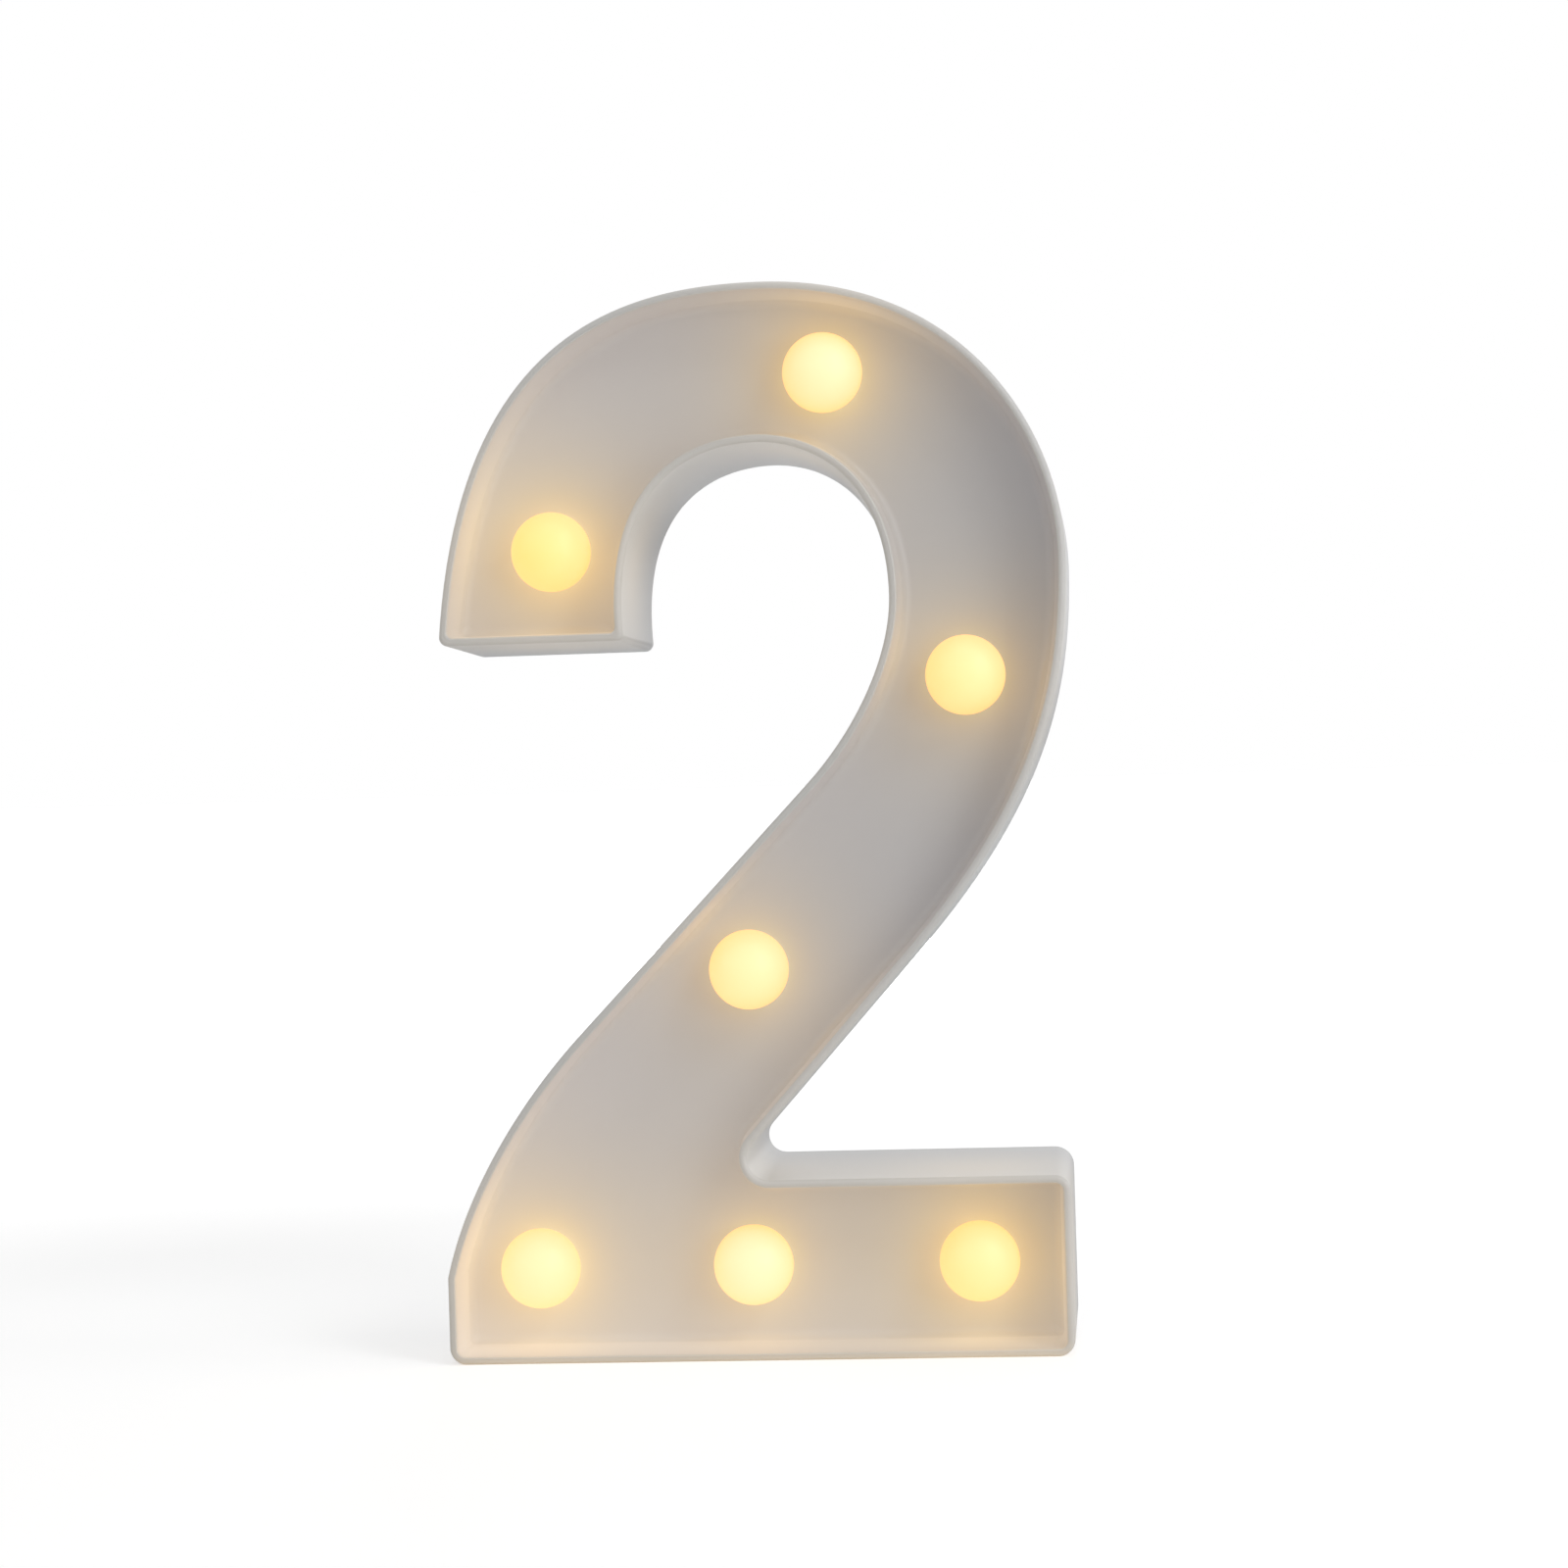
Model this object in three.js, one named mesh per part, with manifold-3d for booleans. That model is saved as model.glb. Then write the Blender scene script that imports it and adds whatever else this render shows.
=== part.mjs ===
// A lit figure 2 for a shelf or wall: a white moulded shell with a recessed face, seven frosted
// bulbs, and a back cover that holds the cells, the switch and a hanging hole.
// Millimetres. X is to the right of someone facing the light, Y runs from front to back, Z is up.
// The origin lies on the surface that the light stands on, under the middle of the light.
import * as THREE from "three";
import { mergeVertices } from "three/addons/utils/BufferGeometryUtils.js";
import Module from "manifold-3d";

const wasm = await Module();
wasm.setup();

// Clearances and cutting
const seatGap = 0.3; // left between a piece and what it sits on or in
const overrun = 1; // how far a cut runs past the face that it opens
const weld = 0.0001; // vertices closer than this are one
const roundSides = 14;
const cellSides = 16;
const smallSides = 10;
const wireSides = 8;

// Cells: two AA cells, one above the other
const cellDiameter = 14.5;
const cellLength = 50.5; // over the button
const cellButtonRadius = 2.75;
const cellButtonHeight = 1.2;
const cellRows = 2;
const cellPlay = 0.4;

// Shell
const figureHeight = 219.2; // to the top of the front rim
const flare = 0.78; // each side stands this much further out at the back than at the front
const wall = 1.6;
const rimWidth = 1.5;
const rimRounding = 0.5;
const trayDepth = 13;
const trayDraft = 0.8;
const panelThickness = 2;
const coverThickness = 2.4;
const coverLedge = 0.6; // how far the wall is thinned at the back, where the cover sits
const bayWall = 1.3;
const footCorner = 3.4;
const barCorner = 3.2;
const notchRadius = 4.6;
const hookTipCorner = 1.8;
const hookHeelCorner = 1;
const leastCorner = 0.3;
const cornerSteps = 4;

// Places on the outline: X as a share of the bar's length from its middle, Z of the height.
const outlineShares = {
  strokeHeel: [-0.0583, 0.1668],
  strokeShoulder: [0.2553, 0.3693],
  bowlSide: [0.521, 0.7375],
  bowlTop: [0.0444, 1],
  hookTip: [-0.4845, 0.6721],
  hookHeel: [-0.1851, 0.6721],
  counterTop: [0.0347, 0.8517],
  counterSide: [0.2407, 0.7059],
  strokeTop: [0.1009, 0.5333],
  flankTop: [-0.2758, 0.3048],
  flankFoot: [-0.5, 0.0809],
};
// How far each bend's handles reach before and after its place, as shares of the height
const bendShares = {
  strokeShoulder: [0, 0.1877],
  bowlSide: [0.1214, 0.1101],
  bowlTop: [0.1957, 0.1157],
  hookTip: [0.3011, 0],
  hookHeel: [0, 0.1627],
  counterTop: [0.0411, 0.0547],
  counterSide: [0.1068, 0.0527],
  strokeTop: [0.0721, 0],
  flankTop: [0, 0.1004],
  flankFoot: [0.0695, 0],
};
const hookLean = THREE.MathUtils.degToRad(4.6); // off upright, at both ends of the hook
const flankLean = THREE.MathUtils.degToRad(12.8); // off upright, where the flank meets the bar's end

// Bulbs, with their middles as shares of the bar's length and of the height
const bulbShares = [
  [0.1408, 0.918],
  [-0.3075, 0.7592],
  [0.356, 0.631],
  [-0.0063, 0.3609],
];
const barBulbShares = [-0.3592, -0.0125, 0.3513];
const bulbRadius = 8.2;
const bulbStandoff = 4.2; // the globe's centre in front of the panel
const bulbWall = 0.8;
const bulbNeckRadius = 6;
const bulbNeckReach = 0.8; // behind the panel
const bulbSnap = 0.6; // how far the snap ring stands out from the neck
const bulbRings = 5;

// Diodes and the caps that hold them behind the bulbs
const capRadius = 8.5;
const capSkirt = 1.2;
const capPlate = 1.2;
const capSleeveReach = 1.2; // into the bulb's neck, in front of the panel's back
const diodeRadius = 2.5;
const diodeLength = 8.6;
const diodeFlange = 0.4;
const diodeFlangeThickness = 1;
const diodeRings = 3;
const leadSide = 0.5;
const leadPitch = 2.54;
const leadLength = 3.4;

// Wires
const wireRadius = 0.45;
const wireMeets = seatGap; // a wire stops this far from what it is soldered to
const wireSlack = 9;
const stringSpare = 0.2; // between the string of wires and the cell bay
const stringStart = 9; // the string begins this far to the right of the bar's last bulb
const stringSteps = 48;
const wireSteps = 10;
const diveSteps = 4;

// Screws
const screwShank = 1.2;
const screwLength = 11;
const screwHead = 2.7;
const screwHeadHeight = 1.6;
const screwSink = 0.3; // the head lies this far below the cover's face
const crossLength = 3.2;
const crossWidth = 0.7;
const crossDepth = 0.8;
const bossWall = 1.8;
const pilotSpare = 2; // the hole runs on past the screw's tip
const screwShares = [
  [-0.4421, 0.035],
  [0.4421, 0.035],
  [0.2113, 0.4151],
  [0.4382, 0.7665],
  [-0.2034, 0.9352],
  [-0.2582, 0.6975],
];

// Cell bay, contacts and door
const contactThickness = 0.4;
const springReach = 4.4;
const springTurns = 4;
const springWire = 0.28;
const springBase = 3.6;
const springTip = 2.4;
const springStepsPerTurn = 8;
const springSides = 5;
const tabWidth = 3;
const tabReach = 2.2; // past the bay's end wall
const contactMargin = 1.2; // between a contact's edge and the bay's floor, door or middle
const pinRadius = 0.6;
const pinReach = 1.2;
const tongueWidth = 11;
const tongueLength = 7;
const tongueSlot = 0.8;
const scoopRadius = 5.5;
const scoopDepth = 1.2;
const gripCount = 4;
const gripWidth = 0.8;
const gripPitch = 2.2;
const gripLength = 9;
const gripDepth = 0.5;

// Switch
const knobLength = 4.4;
const knobHeight = 3.6;
const knobTravel = 4;
const knobSink = 0.4; // the knob lies this far below the cover's face
const knobFoot = 1.6; // how deep the knob reaches into the switch's body
const switchWall = 1.6;
const switchDepth = 6;
const earThickness = 1.2;
const earLength = 5;
const terminalSide = 0.8;
const terminalReach = 2;
const earScrewShank = 0.8;
const earScrewHead = 1.6;
const earScrewHeadHeight = 0.9;
const earScrewBite = 1.6; // into the cover
const switchRoom = 5.175; // left for each end of the switch, inside the bar

// Resistor
const resistorRadius = 1.1;
const resistorLength = 6;
const resistorWaist = 0.2;
const resistorLead = 0.3;
const resistorLeadReach = 3;

// Hanging hole: its middle as shares of the bar's length and of the height
const keyholeShares = [0.0155, 0.924];
const keyholeRadius = 4.5;
const keySlotRadius = 2.6;
const keySlotReach = 8;

// The bar is as tall as the stacked cells, their bay and the shell round them. It is long enough
// for the bay in its middle and for the switch beside it, and as long again on the other side.
const bayHeight = cellRows * cellDiameter + (cellRows + 1) * cellPlay;
const barHeight = bayHeight + 2 * (bayWall + seatGap + wall);
const contactGap = seatGap + contactThickness;
const bayLength = contactGap + springReach + seatGap + cellLength + seatGap + contactGap;
const slotLength = knobLength + knobTravel + 2 * seatGap;
const switchLength = slotLength + 2 * (switchWall + earLength);
const barLength = bayLength + 2 * (bayWall + switchLength + 2 * switchRoom + wall);

// Depths of a cap and a diode, from the panel's back
const capFaceY = seatGap + capSkirt;
const capBackY = capFaceY + capPlate;
const flangeY = capBackY + seatGap;
const diodeBackY = flangeY + diodeFlangeThickness;
const leadEndY = diodeBackY + leadLength;

// The light is as deep as its tray and panel, the diodes, the two wires behind them, the bay and
// the cover.
const stringDepth = 2 * (wireMeets + 2 * wireRadius) + stringSpare;
const bayDepth = bayWall + cellDiameter + 2 * cellPlay;
const depth = trayDepth + panelThickness + leadEndY + stringDepth + bayDepth + coverThickness;
const frontY = -depth / 2;
const backY = depth / 2;
const panelFrontY = frontY + trayDepth;
const panelBackY = panelFrontY + panelThickness;
const coverInnerY = backY - coverThickness;

const finishes = {
  shell: { color: 0xd9d7d2, roughness: 0.32, metalness: 0 },
  cover: { color: 0xd8d6d0, roughness: 0.5, metalness: 0 },
  bulb: { color: 0xfff0b4, roughness: 0.4, metalness: 0, emissive: 0xffd66a },
  cap: { color: 0xe8e6e0, roughness: 0.55, metalness: 0 },
  diode: { color: 0xf3e6a0, roughness: 0.15, metalness: 0 },
  steel: { color: 0xb9bbbd, roughness: 0.35, metalness: 1 },
  cell: { color: 0x2f5f8f, roughness: 0.35, metalness: 0.2 },
  black: { color: 0x1d1d1f, roughness: 0.5, metalness: 0 },
  red: { color: 0xb3201c, roughness: 0.5, metalness: 0 },
  resistor: { color: 0xc9b183, roughness: 0.5, metalness: 0 },
};

const light = new THREE.Group();
light.name = "led_letter_light";

// Solids

function solidOf(geometry) {
  const bare = geometry.clone();
  bare.deleteAttribute("normal");
  bare.deleteAttribute("uv");
  const merged = mergeVertices(bare, weld);
  const corners = [...merged.index.array];
  const triangles = [];
  for (let i = 0; i < corners.length; i += 3) {
    const [a, b, c] = corners.slice(i, i + 3);
    if (a !== b && b !== c && a !== c) triangles.push(a, b, c);
  }
  return new wasm.Manifold(
    new wasm.Mesh({
      numProp: 3,
      vertProperties: merged.attributes.position.array,
      triVerts: new Uint32Array(triangles),
    }),
  );
}

function place(name, solid, finish, parent = light) {
  const made = solid.getMesh();
  const geometry = new THREE.BufferGeometry();
  geometry.setAttribute("position", new THREE.BufferAttribute(made.vertProperties, 3));
  geometry.setIndex(new THREE.BufferAttribute(made.triVerts, 1));
  geometry.computeVertexNormals();
  const mesh = new THREE.Mesh(geometry, new THREE.MeshStandardMaterial({ ...finish }));
  mesh.name = name;
  parent.add(mesh);
  return mesh;
}

function block([x0, x1], [y0, y1], [z0, z1]) {
  const box = new THREE.BoxGeometry(x1 - x0, y1 - y0, z1 - z0);
  return solidOf(box.translate((x0 + x1) / 2, (y0 + y1) / 2, (z0 + z1) / 2));
}

// A round rod along Y, from y0 to y1, which may taper from one radius to another.
function rod(radius, [y0, y1], x = 0, z = 0, { backRadius = radius, sides = roundSides } = {}) {
  const shape = new THREE.CylinderGeometry(backRadius, radius, y1 - y0, sides);
  return solidOf(shape.translate(x, (y0 + y1) / 2, z));
}

// A profile of [radius, y] places turned round Y, listed from front to back along its outside.
function turned(profile, sides = roundSides) {
  const points = profile.map(([radius, y]) => new THREE.Vector2(radius, y));
  return solidOf(new THREE.LatheGeometry(points, sides));
}

// The unit vector square to the run between two points, on its right
const sideways = (from, to) => new THREE.Vector2(to.y - from.y, from.x - to.x).normalize();

// A place given as shares of the bar's length and of the height
const fromShares = ([x, z]) => [x * barLength, z * figureHeight];

// The outline

const outlinePlaces = Object.fromEntries(
  Object.entries(outlineShares).map(([name, shares]) => [
    name,
    new THREE.Vector2(...fromShares(shares)),
  ]),
);

// The way the outline runs at each bend, anticlockwise as seen from the front
const heading = (angle) => new THREE.Vector2(Math.cos(angle), Math.sin(angle));
const towards = (from, to) => to.clone().sub(from).normalize();
const strokeDown = towards(outlinePlaces.strokeTop, outlinePlaces.flankTop);
const strokeUp = towards(outlinePlaces.strokeHeel, outlinePlaces.strokeShoulder);
const headings = {
  strokeShoulder: strokeUp,
  bowlSide: heading(Math.PI / 2),
  bowlTop: heading(Math.PI),
  hookTip: heading(-Math.PI / 2 - hookLean),
  hookHeel: heading(Math.PI / 2 + hookLean),
  counterTop: heading(0),
  counterSide: heading(-Math.PI / 2),
  strokeTop: strokeDown,
  flankTop: strokeDown,
  flankFoot: heading(-Math.PI / 2 - flankLean),
};

// Points along the bend from one named place to the next, without the first.
function bend(from, to, steps) {
  const start = outlinePlaces[from];
  const end = outlinePlaces[to];
  const out = headings[from].clone().multiplyScalar(bendShares[from][1] * figureHeight);
  const back = headings[to].clone().multiplyScalar(-bendShares[to][0] * figureHeight);
  const curve = new THREE.CubicBezierCurve(start, start.clone().add(out), end.clone().add(back), end);
  return curve.getPoints(steps).slice(1);
}

// Where the underside of the sloping stroke meets the top of the bar
const notch = outlinePlaces.strokeShoulder.clone();
notch.addScaledVector(strokeUp, (barHeight - notch.y) / strokeUp.y);

const barEnd = barLength / 2;
const corner = (x, z, radius) => ({ at: new THREE.Vector2(x, z), radius, steps: cornerSteps });
const plain = (points) => points.map((at) => ({ at, radius: 0 }));
const cornerAt = (place, radius) => corner(place.x, place.y, radius);

const outlinePath = [
  corner(-barEnd, 0, footCorner),
  corner(barEnd, 0, footCorner),
  corner(barEnd, barHeight, barCorner),
  corner(notch.x, barHeight, notchRadius),
  ...plain([outlinePlaces.strokeShoulder]),
  ...plain(bend("strokeShoulder", "bowlSide", 8)),
  ...plain(bend("bowlSide", "bowlTop", 10)),
  ...plain(bend("bowlTop", "hookTip", 10).slice(0, -1)),
  cornerAt(outlinePlaces.hookTip, hookTipCorner),
  cornerAt(outlinePlaces.hookHeel, hookHeelCorner),
  ...plain(bend("hookHeel", "counterTop", 8)),
  ...plain(bend("counterTop", "counterSide", 8)),
  ...plain(bend("counterSide", "strokeTop", 6)),
  ...plain([outlinePlaces.flankTop]),
  ...plain(bend("flankTop", "flankFoot", 7)),
];

// A round corner of the given radius where two straight runs meet.
function rounded(before, at, after, radius, steps) {
  const arriving = towards(before, at);
  const leaving = towards(at, after);
  const turn = Math.atan2(arriving.cross(leaving), arriving.dot(leaving));
  const trim = radius * Math.tan(Math.abs(turn) / 2);
  const start = at.clone().addScaledVector(arriving, -trim);
  const inward = new THREE.Vector2(-arriving.y, arriving.x).multiplyScalar(Math.sign(turn) * radius);
  const centre = start.clone().add(inward);
  return Array.from({ length: steps + 1 }, (_, i) =>
    start.clone().rotateAround(centre, (turn * i) / steps),
  );
}

// The outline moved outwards by outset, or inwards where it is negative, at depth y.
// Nothing in it lies below floorZ, so the light's underside stays level.
function ring(outset, y, floorZ = 0) {
  const count = outlinePath.length;
  const moved = outlinePath.map(({ at }, i) => {
    const before = sideways(outlinePath[(i + count - 1) % count].at, at);
    const after = sideways(at, outlinePath[(i + 1) % count].at);
    const mitre = before.clone().add(after);
    return at.clone().addScaledVector(mitre, outset / (1 + before.dot(after)));
  });
  return moved.flatMap((at, i) => {
    const { radius, steps } = outlinePath[i];
    const before = moved[(i + count - 1) % count];
    const after = moved[(i + 1) % count];
    const hollow = towards(before, at).cross(towards(at, after)) < 0;
    const grown = Math.max(hollow ? radius - outset : radius + outset, leastCorner);
    const points = radius ? rounded(before, at, after, grown, steps) : [at];
    return points.map((p) => new THREE.Vector3(p.x, y, Math.max(p.y, floorZ)));
  });
}

// A closed solid through rings of equally many points, listed from front to back.
function loft(rings) {
  const count = rings[0].length;
  const indices = [];
  const capOf = (points) =>
    THREE.ShapeUtils.triangulateShape(
      points.map((p) => new THREE.Vector2(p.x, p.z)),
      [],
    );
  for (const [a, b, c] of capOf(rings[0])) indices.push(a, b, c);
  rings.slice(1).forEach((_, k) => {
    const front = k * count;
    const back = front + count;
    for (let i = 0; i < count; i += 1) {
      const j = (i + 1) % count;
      indices.push(front + i, back + i, back + j, front + i, back + j, front + j);
    }
  });
  const last = (rings.length - 1) * count;
  for (const [a, b, c] of capOf(rings.at(-1))) indices.push(last + c, last + b, last + a);
  const geometry = new THREE.BufferGeometry().setFromPoints(rings.flat());
  geometry.setIndex(indices);
  return solidOf(geometry);
}

const outsetAt = (y) => (flare * (y - frontY)) / depth;

// The figure is drawn about the middle of its bar, and then moved so that the light's middle is at 0.
const widest = ring(outsetAt(backY), backY).map((p) => p.x);
const figure = new THREE.Group();
figure.position.x = -(Math.min(...widest) + Math.max(...widest)) / 2;
light.add(figure);

// Bulb places

const barMiddle = barHeight / 2;
const bulbPlaces = [
  ...bulbShares.map(fromShares),
  ...barBulbShares.map((x) => [x * barLength, barMiddle]),
];
const screwPlaces = screwShares.map(fromShares);

// Front shell

const pilotRadius = screwShank + seatGap;
const bossRadius = pilotRadius + bossWall;
const bossBackY = coverInnerY - seatGap;
const screwHeadY = backY - screwSink;
const pilotFrontY = screwHeadY - screwLength - pilotSpare;
const snapRadius = bulbNeckRadius + bulbSnap;
const bulbHoleRadius = bulbNeckRadius + seatGap;
const rebate = wall - coverLedge;

function makeShell() {
  const roundedY = frontY + rimRounding;
  const trayFront = ring(rimRounding - rimWidth, frontY);
  const pastFront = ring(rimRounding - rimWidth, frontY - overrun);
  const outer = loft([
    ring(-rimRounding, frontY),
    ring(outsetAt(roundedY), roundedY),
    ring(outsetAt(backY), backY),
  ]);
  const tray = loft([
    pastFront,
    trayFront,
    ring(-rimWidth, roundedY),
    ring(-rimWidth - trayDraft, panelFrontY),
  ]);
  const pastBackY = backY + overrun;
  const cavity = loft([
    ring(outsetAt(panelBackY) - wall, panelBackY, wall),
    ring(outsetAt(pastBackY) - wall, pastBackY, wall),
  ]);
  const seat = loft([
    ring(outsetAt(bossBackY) - rebate, bossBackY, rebate),
    ring(outsetAt(pastBackY) - rebate, pastBackY, rebate),
  ]);
  let shell = outer.subtract(tray).subtract(cavity).subtract(seat);
  for (const [x, z] of bulbPlaces) {
    const span = [panelFrontY - overrun, panelBackY + overrun];
    shell = shell.subtract(rod(bulbHoleRadius, span, x, z));
  }
  for (const [x, z] of screwPlaces) {
    shell = shell.add(rod(bossRadius, [panelBackY - panelThickness / 2, bossBackY], x, z));
    shell = shell.subtract(rod(pilotRadius, [pilotFrontY, bossBackY + overrun], x, z));
  }
  return shell;
}

place("front_shell", makeShell(), finishes.shell, figure);

// Bulbs: frosted globes, each flat where it meets the panel, with a neck that snaps through

const shoulderY = -seatGap; // measured from the panel's front
const globeY = -bulbStandoff;

// Places on a ball about globeY, from its front pole to where it meets the depth endY.
function ballProfile(radius, endY, steps) {
  const sweep = Math.acos((globeY - endY) / radius);
  return Array.from({ length: steps + 1 }, (_, i) => {
    const angle = (sweep * i) / steps;
    return [radius * Math.sin(angle), globeY - radius * Math.cos(angle)];
  });
}

function makeBulb() {
  const inside = bulbRadius - bulbWall;
  const bore = bulbNeckRadius - bulbWall;
  const neckEnd = panelThickness + bulbNeckReach;
  const snapStart = panelThickness + seatGap;
  const boreMeets = globeY + Math.sqrt(inside ** 2 - bore ** 2);
  const outline = [
    ...ballProfile(bulbRadius, shoulderY, bulbRings),
    [bulbNeckRadius, shoulderY],
    [bulbNeckRadius, snapStart],
    [snapRadius, snapStart],
    [bulbNeckRadius, neckEnd],
    [bore, neckEnd],
    ...ballProfile(inside, boreMeets, bulbRings - 1).reverse(),
  ];
  return turned(outline);
}

// Each cap covers a bulb's neck behind the panel and holds a diode in its middle.
const sleeveBore = diodeRadius + seatGap;

function makeCap() {
  const sleeve = bulbNeckRadius - bulbWall - seatGap;
  const skirtInside = snapRadius + seatGap;
  return turned([
    [sleeveBore, -capSleeveReach],
    [sleeve, -capSleeveReach],
    [sleeve, capFaceY],
    [skirtInside, capFaceY],
    [skirtInside, seatGap],
    [capRadius, seatGap],
    [capRadius, capBackY],
    [sleeveBore, capBackY],
    [sleeveBore, -capSleeveReach],
  ]);
}

function makeDiode() {
  const domeY = diodeBackY - diodeLength + diodeRadius;
  const dome = Array.from({ length: diodeRings + 1 }, (_, i) => {
    const angle = ((Math.PI / 2) * i) / diodeRings;
    return [diodeRadius * Math.sin(angle), domeY - diodeRadius * Math.cos(angle)];
  });
  const flange = sleeveBore + diodeFlange;
  let diode = turned(
    [...dome, [diodeRadius, flangeY], [flange, flangeY], [flange, diodeBackY], [0, diodeBackY]],
    smallSides,
  );
  const half = leadSide / 2;
  for (const x of [-leadPitch / 2, leadPitch / 2]) {
    diode = diode.add(block([x - half, x + half], [flangeY, leadEndY], [-half, half]));
  }
  return diode;
}

const bulb = makeBulb();
const cap = makeCap();
const diode = makeDiode();
bulbPlaces.forEach(([x, z], i) => {
  const station = new THREE.Group();
  station.position.set(x, 0, z);
  figure.add(station);
  place(`bulb_${i + 1}`, bulb, finishes.bulb, station).position.y = panelFrontY;
  place(`diode_cap_${i + 1}`, cap, finishes.cap, station).position.y = panelBackY;
  place(`diode_${i + 1}`, diode, finishes.diode, station).position.y = panelBackY;
});

// Cell bay

const bayX = [-bayLength / 2, bayLength / 2];
const bayZ = [barMiddle - bayHeight / 2, barMiddle + bayHeight / 2];
const cellY = coverInnerY - cellPlay - cellDiameter / 2;
const bayFloorY = cellY - cellDiameter / 2 - cellPlay;
const rowPitch = cellDiameter + cellPlay;
const grown = ([low, high], by) => [low - by, high + by];

// Where each row's contact tab passes the bay's end wall
const rowZ = (row) => barMiddle + (row - (cellRows - 1) / 2) * rowPitch;
const tabHalf = contactThickness / 2;
const tabY = [cellY - tabWidth / 2, cellY + tabWidth / 2];
const tabX = [bayX[1] - contactGap, bayX[1] + bayWall + tabReach];
const tabZ = (row) => [rowZ(row) - tabHalf, rowZ(row) + tabHalf];

// Switch place: halfway between the bay's end and the bar's end
const switchX = (bayX[1] + bayWall + barEnd) / 2;
const slotStart = switchX - knobLength / 2 - seatGap;
const slotX = [slotStart, slotStart + slotLength];
const slotZ = grown([barMiddle - knobHeight / 2, barMiddle + knobHeight / 2], seatGap);
const switchMiddle = (slotX[0] + slotX[1]) / 2;
const switchX0 = slotX[0] - switchWall;
const switchX1 = slotX[1] + switchWall;
const switchZ = grown(slotZ, switchWall);
const earScrewX = [switchX0 - earLength / 2, switchX1 + earLength / 2];
const switchFaceY = coverInnerY - seatGap;

// Door hinge: the door's left end is round about this line
const doorThickness = coverThickness;
const hinge = {
  x: bayX[0] + seatGap + doorThickness / 2,
  y: backY - doorThickness / 2,
};

function rodAlongZ(radius, x, y, [z0, z1], sides = smallSides) {
  const shape = new THREE.CylinderGeometry(radius, radius, z1 - z0, sides);
  return solidOf(shape.rotateX(Math.PI / 2).translate(x, y, (z0 + z1) / 2));
}

function makeCover() {
  const edge = rebate + seatGap;
  const plate = loft([
    ring(outsetAt(coverInnerY) - edge, coverInnerY, edge),
    ring(outsetAt(backY) - edge, backY, edge),
  ]);
  const bayOuterY = [bayFloorY - bayWall, coverInnerY + coverThickness / 2];
  const bayOuter = block(grown(bayX, bayWall), bayOuterY, grown(bayZ, bayWall));
  const bayInner = block(bayX, [bayFloorY, backY + overrun], bayZ);
  let cover = plate.add(bayOuter).subtract(bayInner);

  for (const row of [0, cellRows - 1]) {
    const slit = [tabX[0], tabX[1] + overrun];
    cover = cover.subtract(block(slit, grown(tabY, seatGap), grown(tabZ(row), seatGap)));
  }

  const through = [coverInnerY - overrun, backY + overrun];
  cover = cover.subtract(block(slotX, through, slotZ));
  for (const x of earScrewX) {
    const bite = [coverInnerY - overrun, coverInnerY + earScrewBite + seatGap];
    cover = cover.subtract(rod(earScrewShank + seatGap, bite, x, barMiddle, { sides: smallSides }));
  }

  const socketZ = grown(bayZ, pinReach + seatGap);
  cover = cover.subtract(rodAlongZ(pinRadius + seatGap, hinge.x, hinge.y, socketZ));
  const scoopY = [backY - scoopDepth, backY + overrun];
  cover = cover.subtract(rod(scoopRadius, scoopY, bayX[1], barMiddle));

  for (const [x, z] of screwPlaces) {
    const sinkY = [screwHeadY - screwHeadHeight - seatGap, backY];
    const sink = rod(screwShank + seatGap, sinkY, x, z, { backRadius: screwHead + 2 * seatGap });
    cover = cover.subtract(rod(screwShank + seatGap, through, x, z)).subtract(sink);
  }

  const [keyX, keyZ] = fromShares(keyholeShares);
  const slotTop = keyZ + keySlotReach;
  const keySlot = block([keyX - keySlotRadius, keyX + keySlotRadius], through, [keyZ, slotTop]);
  return cover
    .subtract(rod(keyholeRadius, through, keyX, keyZ))
    .subtract(keySlot)
    .subtract(rod(keySlotRadius, through, keyX, slotTop));
}

place("back_cover", makeCover(), finishes.cover, figure);

// Battery door: a flat lid with round pins at its left end and a springy tongue at its right

function makeDoor() {
  const half = doorThickness / 2;
  const width = bayX[1] - seatGap - hinge.x;
  const z = grown(bayZ, -seatGap).map((value) => value - barMiddle);
  const pinZ = grown(z, pinReach);
  let door = rodAlongZ(half, 0, 0, z, roundSides)
    .add(block([0, width], [-half, half], z))
    .add(rodAlongZ(pinRadius, 0, 0, pinZ));
  const slotX = [width - tongueLength, width + overrun];
  for (const side of [-1, 1]) {
    const inner = (side * tongueWidth) / 2;
    const outer = inner + side * tongueSlot;
    const slot = [Math.min(inner, outer), Math.max(inner, outer)];
    door = door.subtract(block(slotX, [-half - overrun, half + overrun], slot));
  }
  for (let i = 0; i < gripCount; i += 1) {
    const x = width - tongueLength - (i + 1) * gripPitch;
    const groove = block(
      [x - gripWidth / 2, x + gripWidth / 2],
      [half - gripDepth, half + overrun],
      [-gripLength / 2, gripLength / 2],
    );
    door = door.subtract(groove);
  }
  return door;
}

const doorHinge = new THREE.Group();
doorHinge.position.set(hinge.x, hinge.y, barMiddle);
figure.add(doorHinge);
place("battery_door", makeDoor(), finishes.cover, doorHinge);

// Cells: each row has its button at the other end from the row next to it

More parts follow.
